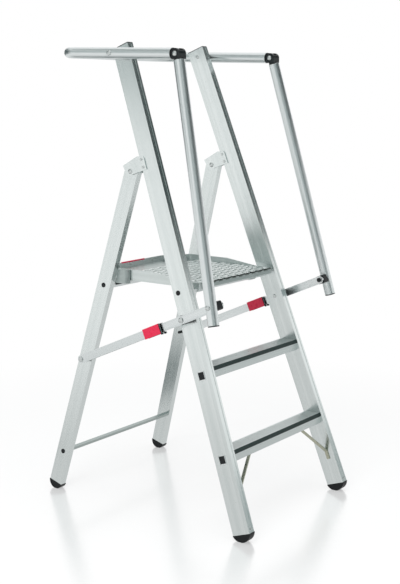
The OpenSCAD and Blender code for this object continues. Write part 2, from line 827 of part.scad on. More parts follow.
// Outline of the tray in [x, y], grown or shrunk by d, from its front left corner round
corner_run = norm([corner_in, corner_back]);
corner_side = (corner_run - corner_back) / corner_in;
corner_rear = (corner_run - corner_in) / corner_back;
function tray_outline(d) = let (
    x = deck_w / 2 - d,
    y0 = deck_hinge[0] - deck_front + d,
    y1 = deck_hinge[0] + deck_rear - d,
    side_y = deck_hinge[0] + deck_rear - corner_back - d * corner_side,
    rear_x = deck_w / 2 - corner_in - d * corner_rear)
    [[-x, y0], [x, y0], [x, side_y], [rear_x, y1], [-rear_x, y1], [-x, side_y]];
// The rim rises from the floor's level over this stretch behind the hinge
rim_start = 8;
rim_full = 140;
rib_start = 22;
rib_end = 300;
rib_inset = 14;

module tray_layer(inset, z0, z1) {
    place() translate([0, 0, z0]) linear_extrude(z1 - z0) polygon(tray_outline(inset));
}

module deck_tray() color(aluminium) {
    difference() {
        tray_layer(0, skirt_z, rim_z);
        tray_layer(deck_sheet, floor_z, rim_z + 1);
        tray_layer(deck_sheet, skirt_z - 1, floor_z - deck_sheet);
        along_x([deck_hinge[0], floor_z], -deck_w, deck_w) polygon([
            [-deck_front - 1, 0], [rim_start, 0], [rim_full, deck_rim], [rim_full, deck_rim + 1],
            [-deck_front - 1, deck_rim + 1]]);
        // The side skirts clear the pivot tube
        rod_x(deck_hinge, pivot_tube_r + 2 * face_gap, -deck_w, deck_w);
    }
    for (i = [0 : rib_count - 1]) {
        y = deck_hinge[0] - deck_front + rib_start + i * (rib_end - rib_start) / (rib_count - 1);
        place() translate([-deck_w / 2 + rib_inset, y - rib_w / 2, floor_z])
            cube([deck_w - 2 * rib_inset, rib_w, rib_h]);
    }
}

strap_half_w = 14;
strap_x = 150;
strap_wall = 3;
module deck_straps() color(aluminium) for (x = [-strap_x, strap_x])
    along_x(deck_hinge, x - strap_half_w, x + strap_half_w) difference() {
        union() {
            circle(pivot_tube_r + strap_wall);
            translate([-pivot_tube_r - strap_wall, 0])
                square([2 * (pivot_tube_r + strap_wall), floor_z - deck_sheet - deck_hinge[1]]);
        }
        circle(pivot_tube_r + run_gap);
    }

// Red strip clipped over the rear edge
edge_over = 1.2;
edge_drop = 3.5;
back_strip = [-105, 15];
module deck_edge_strips() color(red) {
    y1 = deck_hinge[0] + deck_rear;
    place() translate([back_strip[0], 0, 0]) difference() {
        translate([0, y1 - deck_sheet - edge_over, rim_z - edge_drop])
            cube([back_strip[1] - back_strip[0], deck_sheet + 2 * edge_over, edge_drop + edge_over]);
        translate([-1, y1 - deck_sheet, rim_z - edge_drop - 1])
            cube([back_strip[1] - back_strip[0] + 2, deck_sheet, edge_drop + 1]);
    }
}

// Rivets through the rear edge of the deck
deck_rivet_x = [-60, 60];
deck_rivet_r = 4;
deck_rivet_up = 8;
module deck_rivets() color(zinc) place() for (x = deck_rivet_x)
    translate([x, deck_hinge[0] + deck_rear - deck_sheet, floor_z + deck_rivet_up]) rotate([90, 0, 0])
        cylinder(r = deck_rivet_r, h = small_head_t);

// Side arms: flat bars with a narrower tongue at the knee

tongue_h = 20;
// The brace reaches ahead of the knee to just inside the lock sleeve's front
brace_nose = lock_ahead + lock_len / 2 - 8;
tongue_len = brace_nose + 6;

module on_link_line(at, x0, x1) along_x(at, x0, x1) rotate(link_angle) children();

module arm() {
    on_link_line(arm_pivot, arm_in, arm_out) difference() {
        union() {
            translate([-arm_front, 0]) circle(arm_h / 2);
            translate([-arm_front, -arm_h / 2]) square([arm_front + arm_rear - tongue_len, arm_h]);
            translate([0, -tongue_h / 2]) square([arm_rear, tongue_h]);
            translate([arm_rear, 0]) circle(tongue_h / 2);
        }
        circle(bolt_r + run_gap);
        translate([arm_rear, 0]) circle(knee_pin_r + run_gap);
        translate([-arm_front, 0]) circle(bolt_r);
    }
}

module left_arm() color(aluminium) on_side(-1) arm();
module right_arm() color(aluminium) on_side(1) arm();

cap_nut_r = 7.5;
cap_nut_t = 6;
module arm_cap() {
    rod_x(arm_end, bolt_r - fit_gap, arm_in, arm_out);
    rod_x(arm_end, cap_nut_r, arm_in - cap_nut_t, arm_in);
}

module left_arm_cap() color(black) on_side(-1) arm_cap();
module right_arm_cap() color(black) on_side(1) arm_cap();

// Braces: channels open below, so that the arm's tongue folds into them

module brace_side() {
    difference() {
        union() {
            translate([-brace_nose, -brace_h / 2]) square([brace_nose + brace_len, brace_h]);
            translate([brace_len, 0]) circle(brace_h / 2);
        }
        circle(knee_pin_r + fit_gap / 2);
        translate([brace_len, 0]) circle(bolt_r + fit_gap);
    }
}

module brace() {
    on_link_line(knee, brace_in, brace_in + brace_wall) brace_side();
    on_link_line(knee, brace_out - brace_wall, brace_out) brace_side();
    on_link_line(knee, brace_in, brace_out) translate([-brace_nose, brace_h / 2 - brace_wall])
        square([brace_nose + brace_len, brace_wall]);
}

module left_brace() color(aluminium) on_side(-1) brace();
module right_brace() color(aluminium) on_side(1) brace();

module brace_bolts() {
    rod_x(knee, knee_pin_r, brace_in, brace_out);
    rod_x(brace_pivot, bolt_r, brace_in, brace_out);
    head(brace_pivot, head_r, head_t, brace_out, true);
}

module left_brace_bolts() color(zinc) on_side(-1) brace_bolts();
module right_brace_bolts() color(zinc) on_side(1) brace_bolts();

// Knee locks: a sleeve round the brace, slotted below for the arm

lock_in_h = brace_h + 2 * lock_gap;
lock_in_w = brace_w + 2 * lock_gap;
lock_h = lock_in_h + 2 * lock_wall;
lock_w = lock_in_w + 2 * lock_wall;
lock_slot = brace_w - 2 * brace_wall;

// Section of the sleeve over a stretch of the link line, wall by wall
module lock_shell(x0, x1, trim) {
    w = lock_w / 2 - trim;
    h = lock_h / 2 - trim;
    difference() {
        on_link_line(knee, arm_half_w - w, arm_half_w + w) translate([x0, -h]) square([x1 - x0, 2 * h]);
        on_link_line(knee, arm_half_w - lock_in_w / 2, arm_half_w + lock_in_w / 2)
            translate([x0 - 1, -lock_in_h / 2]) square([x1 - x0 + 2, lock_in_h]);
        on_link_line(knee, arm_half_w - lock_slot / 2, arm_half_w + lock_slot / 2)
            translate([x0 - 1, -lock_h]) square([x1 - x0 + 2, lock_h]);
    }
}

lock_front = -lock_ahead - lock_len / 2;
module lock_sleeve() lock_shell(lock_front, lock_front + lock_len, 0);
module left_lock_sleeve() color(red) on_side(-1) lock_sleeve();
module right_lock_sleeve() color(red) on_side(1) lock_sleeve();

// Catch: a black lip at the sleeve's front, with a thumb tab below on each side of the slot
catch_tab = 9;
catch_tab_drop = 4;
catch_trim = 0.8;
module lock_catch() {
    tab_w = (lock_w - lock_slot) / 2 - catch_trim;
    lock_shell(lock_front - catch_len, lock_front, catch_trim);
    for (x = [arm_half_w - lock_slot / 2 - tab_w, arm_half_w + lock_slot / 2])
        on_link_line(knee, x, x + tab_w) translate([lock_front - catch_tab, -lock_h / 2 - catch_tab_drop])
            square([catch_tab, catch_tab_drop + catch_trim + 1]);
}

module left_lock_catch() color(black) on_side(-1) lock_catch();
module right_lock_catch() color(black) on_side(1) lock_catch();

// Guard rail: two sides and a back with round bends

tongue_back = 18;
collar_len = 2.5;
rail_front = tongue_back + collar_len;
rail_side = rail_back_y - rail_bend_r - elbow_y;
// From the middle of the step at the elbow pins, y back along the rail and z square to it
module rail_place() place() translate([0, elbow_y, rail_z]) rotate([rail_tilt, 0, 0]) children();

module tube_ring() difference() {
    circle(tube_r);
    circle(tube_r - tube_wall);
}

module rail_half() {
    difference() {
        rail_place() {
            translate([rail_half_w, rail_front, 0]) rotate([-90, 0, 0])
                linear_extrude(rail_side - rail_front) tube_ring();
            translate([rail_half_w - rail_bend_r, rail_side, 0]) rotate_extrude(angle = 90)
                translate([rail_bend_r, 0]) tube_ring();
            translate([0, rail_side + rail_bend_r, 0]) rotate([0, 90, 0])
                linear_extrude(rail_half_w - rail_bend_r) tube_ring();
        }
        rod_x(rail_bolt, bolt_r + run_gap, 0, reach);
    }
}

module guard_rail() color(tube_metal) both_sides() rail_half();

tongue_half = 8;
tongue_r = 12.5;
tongue_neck = 20;
plug_fit_r = tube_r - tube_wall - fit_gap;
module rail_end_plugs() color(black) both_sides() {
    along_x(elbow, rail_half_w - tongue_half, rail_half_w + tongue_half) rotate(rail_tilt) difference() {
        union() {
            circle(tongue_r);
            translate([0, -tongue_neck / 2]) square([tongue_back, tongue_neck]);
        }
        circle(bolt_r + run_gap);
    }
    rail_place() translate([rail_half_w, tongue_back, 0]) rotate([-90, 0, 0]) {
        cylinder(r = tube_r, h = collar_len);
        cylinder(r = plug_fit_r, h = collar_len + plug_in);
    }
}

// Drop tubes: splayed and leaning tubes from the elbows to the arms

elbow_r = 16;
elbow_half = 17.5;
elbow_slot_r = 13.3;

// Along the tube, from the elbow's height downwards
module drop_place() {
    place() translate(drop_top) rotate([0, acos(drop_dir[2]), atan2(drop_dir[1], drop_dir[0])]) children();
}

module drop_tube() {
    difference() {
        drop_place() cylinder(r = tube_r, h = drop_len);
        drop_place() translate([0, 0, -1]) cylinder(r = tube_r - tube_wall, h = drop_len + 2);
        translate([0, -reach, rail_z - elbow_r]) cube([reach, 2 * reach, reach]);
        rod_x(arm_end, bolt_r, drop_half_w - 2 * tube_r, drop_half_w + 2 * tube_r);
    }
}

module left_drop_tube() color(tube_metal) on_side(-1) drop_tube();
module right_drop_tube() color(tube_metal) on_side(1) drop_tube();

module elbow_body() {
    difference() {
        union() {
            along_x(elbow, rail_half_w - elbow_half, rail_half_w + elbow_half) {
                round_bar(-drop_ahead, 0, 2 * elbow_r);
                translate([-drop_ahead - elbow_r, -elbow_r]) square([2 * elbow_r, elbow_r]);
            }
            intersection() {
                drop_place() cylinder(r = plug_fit_r, h = elbow_r + 2 * plug_in);
                below(rail_z - elbow_slot_r);
            }
        }
        along_x(elbow, rail_half_w - tongue_half - face_gap, rail_half_w + tongue_half + face_gap) {
            circle(elbow_slot_r);
            translate([0, -elbow_slot_r]) square([2 * elbow_r, 3 * elbow_r]);
            translate([-elbow_slot_r, 0]) square([3 * elbow_r, 2 * elbow_r]);
        }
        rod_x(elbow, bolt_r + fit_gap / 2, 0, reach);
    }
}

module left_elbow() color(black) on_side(-1) elbow_body();
module right_elbow() color(black) on_side(1) elbow_body();

module elbow_pin() {
    rod_x(elbow, bolt_r, rail_half_w - elbow_half, rail_half_w + elbow_half);
    head(elbow, head_r - 1, head_t, rail_half_w + elbow_half, true);
    head(elbow, head_r - 1, head_t, rail_half_w - elbow_half, false);
}

module left_elbow_pin() color(zinc) on_side(-1) elbow_pin();
module right_elbow_pin() color(zinc) on_side(1) elbow_pin();

// Bush between a drop tube and its arm, hollowed to seat on the tube
module drop_bush() {
    difference() {
        rod_x(arm_end, bush_r, arm_out + face_gap, drop_half_w);
        drop_place() cylinder(r = tube_r, h = drop_len);
        rod_x(arm_end, bolt_r, 0, reach);
    }
}

module left_drop_bush() color(black) on_side(-1) drop_bush();
module right_drop_bush() color(black) on_side(1) drop_bush();

// Bolt through the drop tube and its bush; its head seats on a flat washer outside
module drop_bolt_body() {
    outer_x = drop_half_w + tube_r;
    rod_x(arm_end, bolt_r - fit_gap, arm_out + face_gap, outer_x + 1);
    difference() {
        rod_x(arm_end, head_r - 1, drop_half_w, outer_x + 1);
        drop_place() cylinder(r = tube_r, h = drop_len);
    }
    head(arm_end, head_r - 1, head_t, outer_x + 1, true);
}

module left_drop_bolt() color(zinc) on_side(-1) drop_bolt_body();
module right_drop_bolt() color(zinc) on_side(1) drop_bolt_body();

module drop_cap() {
    drop_place() translate([0, 0, drop_len]) cylinder(r = tube_r, h = cap_t);
    drop_place() translate([0, 0, drop_len - plug_in / 2]) cylinder(r = plug_fit_r, h = plug_in / 2);
}

module left_drop_cap() color(black) on_side(-1) drop_cap();
module right_drop_cap() color(black) on_side(1) drop_cap();

// One line per node

left_front_stile();
right_front_stile();
front_stile_caps();
front_left_foot();
front_right_foot();
lower_tread();
upper_tread();
tread_nosings();
front_plugs();
tread_stays();
deck_pivot_tube();
left_hinge_bracket();
right_hinge_bracket();
bracket_rivets();
hinge_pins();
arm_bushes();
arm_pivot_bolts();
rail_bushes();
rail_pivot_bolts();
left_rear_stile();
right_rear_stile();
rear_left_foot();
rear_right_foot();
deck_rest_tube();
rest_sleeves();
deck_guides();
lower_cross_bar();
rear_plugs();
brace_bushes();
deck_tray();
deck_straps();
deck_edge_strips();
deck_rivets();
left_arm();
right_arm();
left_arm_cap();
right_arm_cap();
left_brace();
right_brace();
left_brace_bolts();
right_brace_bolts();
left_lock_sleeve();
right_lock_sleeve();
left_lock_catch();
right_lock_catch();
guard_rail();
rail_end_plugs();
left_drop_tube();
right_drop_tube();
left_elbow();
right_elbow();
left_elbow_pin();
right_elbow_pin();
left_drop_bush();
right_drop_bush();
left_drop_bolt();
right_drop_bolt();
left_drop_cap();
right_drop_cap();
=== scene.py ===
# %% [markdown]
# Folding podium step with a guard rail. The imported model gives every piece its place, so this
# lesson starts by loading it and keeping the box it fills. All later pieces stay in that box.

# %% Load the frame
import json
import math

import bmesh
import bpy
from mathutils import Matrix, Vector

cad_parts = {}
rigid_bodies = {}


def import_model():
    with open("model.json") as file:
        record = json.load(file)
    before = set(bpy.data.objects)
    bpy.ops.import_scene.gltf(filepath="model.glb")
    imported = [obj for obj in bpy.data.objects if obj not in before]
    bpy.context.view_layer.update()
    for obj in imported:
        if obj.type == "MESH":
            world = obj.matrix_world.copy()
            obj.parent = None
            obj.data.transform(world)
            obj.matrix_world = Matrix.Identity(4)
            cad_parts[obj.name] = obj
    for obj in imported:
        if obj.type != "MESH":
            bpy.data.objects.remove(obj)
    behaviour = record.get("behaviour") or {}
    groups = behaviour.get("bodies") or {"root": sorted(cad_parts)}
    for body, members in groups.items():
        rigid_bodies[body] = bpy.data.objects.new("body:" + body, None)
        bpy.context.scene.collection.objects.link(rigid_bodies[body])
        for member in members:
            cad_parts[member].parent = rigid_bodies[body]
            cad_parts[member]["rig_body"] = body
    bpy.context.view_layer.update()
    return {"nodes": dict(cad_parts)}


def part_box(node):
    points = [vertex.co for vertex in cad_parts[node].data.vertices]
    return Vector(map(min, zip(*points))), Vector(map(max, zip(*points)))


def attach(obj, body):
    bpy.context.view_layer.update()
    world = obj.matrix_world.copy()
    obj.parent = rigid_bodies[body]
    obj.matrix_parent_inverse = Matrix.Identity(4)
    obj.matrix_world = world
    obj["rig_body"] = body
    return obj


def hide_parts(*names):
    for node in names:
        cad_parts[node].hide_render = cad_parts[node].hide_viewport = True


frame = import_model()
NODES = frame["nodes"]
MM = 0.001

# %% [markdown]
# The camera stands at the front left, a little above the deck, as the photographer did. Its place
# was solved from the corners of the frames, so it is written down as it is, and nothing is aimed
# by eye.

# %% Camera
LENS_MM, FILM_MM = 68.04, 36.0
CAMERA_AT = (-2.9378, -2.2185, 1.3536)
CAMERA_PITCH, CAMERA_HEADING = math.radians(79.902), math.radians(-53.088)


def new_object(name, data):
    made = bpy.data.objects.new(name, data)
    bpy.context.scene.collection.objects.link(made)
    return made


camera_data = bpy.data.cameras.new("camera")
camera_data.lens = LENS_MM
camera_data.sensor_width = FILM_MM
camera = new_object("camera", camera_data)
camera.location = CAMERA_AT
camera.rotation_euler = (CAMERA_PITCH, 0.0, CAMERA_HEADING)
bpy.context.scene.camera = camera
bpy.context.scene.view_settings.view_transform = "Standard"
print("camera at", tuple(round(c, 3) for c in camera.location))

# %% [markdown]
# Every finish is a small tree of nodes. One function adds a node, sets it and links its inputs, and
# another turns the hex colours that designers write into the linear ones that a renderer mixes.

# %% Node and colour helpers
def add(tree, kind, inputs=None, **settings):
    made = tree.nodes.new(kind)
    for name, value in settings.items():
        setattr(made, name, value)
    for key, value in (inputs or {}).items():
        if isinstance(value, bpy.types.NodeSocket):
            tree.links.new(value, made.inputs[key])
        else:
            made.inputs[key].default_value = value
    return made


def linear(hex_colour):
    channels = [int(hex_colour[i:i + 2], 16) / 255 for i in (1, 3, 5)]
    # the sRGB curve: a short straight foot, then a power
    return tuple(c / 12.92 if c <= 0.04045 else ((c + 0.055) / 1.055) ** 2.4
                 for c in channels) + (1.0,)


def new_finish(name):
    finish = bpy.data.materials.new(name)
    finish.use_nodes = True
    tree = finish.node_tree
    tree.nodes.clear()
    shader = add(tree, "ShaderNodeBsdfPrincipled")
    add(tree, "ShaderNodeOutputMaterial", {"Surface": shader.outputs["BSDF"]})
    return finish, tree, shader


WHITE = (1.0, 1.0, 1.0, 1.0)
print("mid grey:", [round(c, 3) for c in linear("#808080")])

# %% [markdown]
# The backdrop is a white studio. Rays from the camera, and from metal, meet white; the light that
# falls on dull surfaces is a softer grey, so the background can be white without washing the
# object out.

# %% World
SOFT_LIGHT = 0.55
world = bpy.data.worlds.new("white_studio")
world.use_nodes = True
bpy.context.scene.world = world
tree = world.node_tree
tree.nodes.clear()
ray = add(tree, "ShaderNodeLightPath").outputs
seen = add(tree, "ShaderNodeMath", operation="ADD", inputs={
    0: ray["Is Camera Ray"], 1: ray["Is Glossy Ray"]})
seen = add(tree, "ShaderNodeMath", operation="ADD", use_clamp=True, inputs={
    0: seen.outputs[0], 1: ray["Is Transmission Ray"]})
soft = add(tree, "ShaderNodeBackground", {"Color": linear("#F4F7F8"), "Strength": SOFT_LIGHT})
white = add(tree, "ShaderNodeBackground", {"Color": WHITE, "Strength": 1.0})
mixed = add(tree, "ShaderNodeMixShader", {
    0: seen.outputs[0], 1: soft.outputs[0], 2: white.outputs[0]})
add(tree, "ShaderNodeOutputWorld", {"Surface": mixed.outputs[0]})
print("world:", world.name)

# %% [markdown]
# The floor is glossy white board: it takes a soft shadow and a fading reflection of the feet, and
# runs out into the white backdrop, so that no horizon shows. Its finish has two layers, the board
# itself and a lacquer that mirrors the step.

# %% Floor board
FLOOR_RADIUS = 9.0


def mesh_from(bm, name):
    mesh = bpy.data.meshes.new(name)
    bm.to_mesh(mesh)
    bm.free()
    return mesh


bm = bmesh.new()
bmesh.ops.create_circle(bm, cap_ends=True, segments=96, radius=FLOOR_RADIUS)
floor = new_object("floor", mesh_from(bm, "floor"))
floor_finish, tree, shader = new_finish("gloss_white_board")
floor.data.materials.append(floor_finish)
shader.inputs["Base Color"].default_value = linear("#F7F8F8")
shader.inputs["Roughness"].default_value = 0.6
shader.inputs["Specular IOR Level"].default_value = 0.0
place = add(tree, "ShaderNodeTexCoord").outputs["Object"]
away = add(tree, "ShaderNodeVectorMath", {0: place}, operation="LENGTH").outputs["Value"]
ray = add(tree, "ShaderNodeLightPath").outputs
# the shadow shows close to the step, and the board turns to plain white further out
near = add(tree, "ShaderNodeMapRange", {
    "Value": away, "From Min": 0.5, "From Max": 2.0, "To Min": 0.68})
to_eye = add(tree, "ShaderNodeMath", operation="MULTIPLY", inputs={
    0: near.outputs[0], 1: ray["Is Camera Ray"]})
seen = add(tree, "ShaderNodeMath", operation="ADD", use_clamp=True, inputs={
    0: to_eye.outputs[0], 1: ray["Is Glossy Ray"]})
# metal sees the floor's glow white far off and greyer close by, painted shade round the step,
# which draws a slow gradient on the stiles
far = add(tree, "ShaderNodeMapRange", {
    "Value": away, "From Min": 0.9, "From Max": 5.0, "To Min": -0.28, "To Max": 0.0})
level = add(tree, "ShaderNodeMath", operation="MULTIPLY_ADD", inputs={
    0: far.outputs[0], 1: ray["Is Glossy Ray"], 2: 1.0})
glow = add(tree, "ShaderNodeEmission", {"Color": WHITE, "Strength": level.outputs[0]})
board = add(tree, "ShaderNodeMixShader", {
    0: seen.outputs[0], 1: shader.outputs[0], 2: glow.outputs[0]})
print("floor radius (m):", FLOOR_RADIUS)

# %% Floor lacquer
lacquer = add(tree, "ShaderNodeBsdfPrincipled", {
    "Base Color": WHITE, "Metallic": 1.0, "Roughness": 0.2})
# the lacquer mirrors more the flatter one looks along it, and is dusty away from the step
gleam = add(tree, "ShaderNodeFresnel", {"IOR": 3.6})
clean = add(tree, "ShaderNodeMapRange", {
    "Value": away, "From Min": 0.6, "From Max": 1.15, "To Min": 1.0, "To Max": 0.0})
gleam = add(tree, "ShaderNodeMath", operation="MULTIPLY", inputs={
    0: gleam.outputs[0], 1: clean.outputs[0]})
gleam = add(tree, "ShaderNodeMath", operation="MULTIPLY", inputs={
    0: gleam.outputs[0], 1: ray["Is Camera Ray"]})
mixed = add(tree, "ShaderNodeMixShader", {
    0: gleam.outputs[0], 1: board.outputs[0], 2: lacquer.outputs[0]})
tree.links.new(mixed.outputs[0], tree.nodes["Material Output"].inputs["Surface"])
print("floor finish:", floor_finish.name)

# %% [markdown]
# Two large soft boxes light the step: one over the camera's left shoulder and one overhead. They
# are area lamps, whose shadows have soft edges.

# %% Lamps
MIDDLE = (0.0, 0.0, 0.75)
# each box: where it stands, its width and height in metres, its power in watts
SOFT_BOXES = {
    "key_box": ((-2.6, -0.4, 2.6), (1.8, 1.8), 52),
    "top_box": ((-0.2, -0.4, 3.6), (2.4, 2.4), 56),
}


def aim(thing, target):
    run = Vector(target) - thing.location
    thing.rotation_euler = run.to_track_quat("-Z", "Y").to_euler()


for name, (at, size, power) in SOFT_BOXES.items():
    lamp_data = bpy.data.lights.new(name, "AREA")
    lamp_data.shape = "RECTANGLE"
    lamp_data.size, lamp_data.size_y = size
    lamp_data.energy = power
    lamp = new_object(name, lamp_data)
    lamp.location = at
    aim(lamp, MIDDLE)
    # metal mirrors the white room and the cards, not the hard outline of the lamp
    lamp.visible_glossy = False
print("soft boxes:", len(SOFT_BOXES))

# %% [markdown]
# Bright metal only shows form where it mirrors something darker, so grey cards stand outside the
# picture, as in a product studio: they are seen only in reflections. The ones on the right darken
# the front faces, those beside the camera shade the round tubes, those above and below the rail
# draw its dark lines, and the one behind the step gives the rail's bend an outline against the
# white backdrop.

# %% Grey cards
# each card: where it stands, what it faces, its width and height in metres, its grey
CARDS = {
    "right_card": ((2.0, -2.7, 3.0), (0.0, 0.0, 3.0), (4.6, 2.5), "#3A4646"),
    "right_low_card": ((2.3, -2.3, 0.24), (0.0, 0.0, 0.24), (3.2, 0.48), "#98A3A3"),
    "side_card": ((-0.6, -4.0, 2.4), (0.0, 0.0, 2.4), (2.4, 4.6), "#6C7878"),
    "back_card": ((-3.3, -2.9, 2.4), (0.0, 0.0, 2.4), (3.0, 4.6), "#A4AEAE"),
    "left_card": ((-4.4, 3.3, 3.3), (0.0, 0.0, 3.3), (4.0, 3.0), "#B2BBBB"),
    "high_card": ((-1.3, 1.5, 3.3), (-1.3, 1.5, 0.0), (1.7, 1.3), "#788484"),
    "low_card": ((-0.1, 1.3, 0.012), (-0.1, 1.3, 1.5), (1.2, 1.1), "#6A7575"),
    "bend_card": ((-0.1, 3.4, 2.1), (-0.1, 0.0, 2.1), (3.4, 2.4), "#4C5959"),
}


def card_finish(name, grey):
    finish, tree = new_finish(name)[:2]
    # only the side that faces the step is grey, so the floor does not mirror a card's back
    inner = add(tree, "ShaderNodeNewGeometry").outputs["Backfacing"]
    dim = add(tree, "ShaderNodeEmission", {"Color": linear(grey), "Strength": 1.0})
    clear = add(tree, "ShaderNodeBsdfTransparent")
    sided = add(tree, "ShaderNodeMixShader", {0: inner, 1: clear.outputs[0], 2: dim.outputs[0]})
    tree.links.new(sided.outputs[0], tree.nodes["Material Output"].inputs["Surface"])
    return finish


for name, (at, target, (width, height), grey) in CARDS.items():
    bm = bmesh.new()
    bmesh.ops.create_grid(bm, x_segments=1, y_segments=1, size=0.5)
    bmesh.ops.scale(bm, vec=(width, height, 1.0), verts=bm.verts)
    card = new_object(name, mesh_from(bm, name))
    card.location = at
    aim(card, target)
    card.visible_camera = card.visible_diffuse = card.visible_shadow = False
    card.data.materials.append(card_finish(name, grey))
print("cards:", len(CARDS))

# %% [markdown]
# The stiles, treads and links are drawn or extruded aluminium, left in its mill finish. The die
# leaves fine streaks along the length and faint bands of tone, so the pattern is a noise stretched
# many times longer along the bar than across it. The grain is turned with the bar it lies on.

# %% Mill finish aluminium
# real sizes of the pattern; the streaks are drawn coarser than they are, so that they show
STREAK, BAND, MARK = 2 * MM, 14 * MM, 40 * MM


def mill_aluminium(name, pale, deep, rough, turn, grain):
    finish, tree, shader = new_finish(name)
    shader.inputs["Metallic"].default_value = 1.0
    place = add(tree, "ShaderNodeTexCoord").outputs["Object"]
    # fine streaks from the die give the gloss its grain
    lines = add(tree, "ShaderNodeMapping", vector_type="TEXTURE", inputs={
        "Vector": place, "Rotation": turn, "Scale": [STREAK * g for g in grain]})
    streak = add(tree, "ShaderNodeTexNoise", {
        "Vector": lines.outputs[0], "Scale": 1.0, "Detail": 3.0, "Roughness": 0.6}).outputs["Fac"]
    relief = add(tree, "ShaderNodeBump", {
        "Strength": 0.05, "Distance": 0.05 * MM, "Height": streak})
    tree.links.new(relief.outputs[0], shader.inputs["Normal"])
    # wide bands of tone come from the flow of the metal through the die
    wide = add(tree, "ShaderNodeMapping", vector_type="TEXTURE", inputs={
        "Vector": place, "Rotation": turn, "Scale": [BAND * g for g in grain]})
    band = add(tree, "ShaderNodeTexNoise", {
        "Vector": wide.outputs[0], "Scale": 1.0, "Detail": 2.0, "Roughness": 0.5}).outputs["Fac"]
    tone = add(tree, "ShaderNodeMapRange", {"Value": band, "From Min": 0.35, "From Max": 0.65})
    colour = add(tree, "ShaderNodeMix", data_type="RGBA", inputs={
        "Factor": tone.outputs[0], 6: linear(deep), 7: linear(pale)})
    tree.links.new(colour.outputs[2], shader.inputs["Base Color"])
    # smudges from handling make patches of it a little duller
    marks = add(tree, "ShaderNodeTexNoise", {
        "Vector": place, "Scale": 1 / MARK, "Detail": 4.0, "Roughness": 0.65}).outputs["Fac"]
    fine = add(tree, "ShaderNodeMapRange", {
        "Value": streak, "From Min": 0.3, "From Max": 0.7,
        "To Min": rough - 0.03, "To Max": rough + 0.03})
    smudge = add(tree, "ShaderNodeMapRange", {
        "Value": marks, "From Min": 0.35, "From Max": 0.7, "To Min": -0.01, "To Max": 0.02})
    total = add(tree, "ShaderNodeMath", {0: fine.outputs[0], 1: smudge.outputs[0]}, operation="ADD")
    tree.links.new(total.outputs[0], shader.inputs["Roughness"])
    return finish


print("streaks, bands and marks (m):", STREAK, BAND, MARK)

# %% Bars and sheets in mill finish
# how far the front stiles, the rear stiles and the side links lean
FRONT_LEAN, REAR_LEAN, LINK_DROP = (math.radians(a) for a in (20.1, 15.8, -23.58))
LEVEL = (0, 0, 0)
stile_front = mill_aluminium("mill_aluminium_front_stile", "#E4EAE9", "#DCE3E2", rough=0.24,
                             turn=(-FRONT_LEAN, 0, 0), grain=(60, 1, 260))
stile_rear = mill_aluminium("mill_aluminium_rear_stile", "#E2E8E7", "#DAE1E0", rough=0.26,
                            turn=(REAR_LEAN, 0, 0), grain=(60, 1, 260))
across_bar = mill_aluminium("mill_aluminium_tread", "#D2DAD9", "#C8D0CF", rough=0.30,
                            turn=LEVEL, grain=(260, 1, 1))
# painted shade: a darker copy of the mill finish, for the deck floor, its front skirt and the parts
# below the deck
shaded_sheet = mill_aluminium("mill_aluminium_painted_shade", "#B4BEBC", "#A8B2B0", rough=0.34,
                            turn=LEVEL, grain=(40, 1, 1))
deck_wall = mill_aluminium("mill_aluminium_deck_wall", "#DCE3E2", "#D0D8D6", rough=0.32,
                           turn=LEVEL, grain=(40, 40, 1))
# rubbed wear and a painted highlight: the ribs are lighter than the floor between them, for the
# shoe-worn tops and the light on them
rib_wear_and_highlight = mill_aluminium("rubbed_and_painted_highlight_ribs", "#DCE2E1", "#C8D0CE", rough=0.26,
                          turn=LEVEL, grain=(12, 1, 1))
link_bar = mill_aluminium("mill_aluminium_link", "#E8EDED", "#DFE5E5", rough=0.28,
                          turn=(LINK_DROP, 0, 0), grain=(1, 260, 1))
# painted highlight: the flanges get the palest finish, for the light on their rims
flange_highlight = mill_aluminium("painted_highlight_flange", "#F8FAFA", "#F0F3F3", rough=0.36,
                               turn=(-FRONT_LEAN, 0, 0), grain=(1, 1, 20))
# painted shade: the slots' dark finish stands in for the shade inside the punched openings
slot_shade = mill_aluminium("painted_shade_slot_aluminium", "#7A8481", "#6E7875", rough=0.45,
                            turn=LEVEL, grain=(1, 1, 1))
print("mill finishes: 9")

# %% [markdown]
# The rail and the drop tubes are anodised to a satin gloss, so they mirror the studio in long soft
# streaks. Only a faint drawing grain and a few smudges break the gloss.

# %% Anodised tube
# smudges from hands, and the drawing grain, coarser here than it is so that it shows
SMUDGE, GRIT = 25 * MM, 1.2 * MM
anodised_tube, tree, shader = new_finish("anodised_tube")
shader.inputs["Metallic"].default_value = 1.0
place = add(tree, "ShaderNodeTexCoord").outputs["Object"]
marks = add(tree, "ShaderNodeTexNoise", {
    "Vector": place, "Scale": 1 / SMUDGE, "Detail": 4.0, "Roughness": 0.6}).outputs["Fac"]
grit = add(tree, "ShaderNodeTexNoise", {"Vector": place, "Scale": 1 / GRIT, "Detail": 2.0})
colour = add(tree, "ShaderNodeMix", data_type="RGBA", inputs={
    "Factor": marks, 6: linear("#DEE4E4"), 7: linear("#E6EBEB")})
tree.links.new(colour.outputs[2], shader.inputs["Base Color"])
gloss = add(tree, "ShaderNodeMapRange", {
    "Value": marks, "From Min": 0.3, "From Max": 0.7, "To Min": 0.33, "To Max": 0.36})
tree.links.new(gloss.outputs[0], shader.inputs["Roughness"])
relief = add(tree, "ShaderNodeBump", {
    "Strength": 0.03, "Distance": 0.03 * MM, "Height": grit.outputs["Fac"]})
tree.links.new(relief.outputs[0], shader.inputs["Normal"])
print("finish:", anodised_tube.name)

# %% [markdown]
# Bolts and rivets are bright zinc plated steel, the bent stays are zinc with a yellow passivation.
# Both have the cloudy, uneven gloss of a plating bath, so one function makes them from two tones
# of the same cloud.

# %% Zinc plated steel
PLATING_CLOUD = 6 * MM


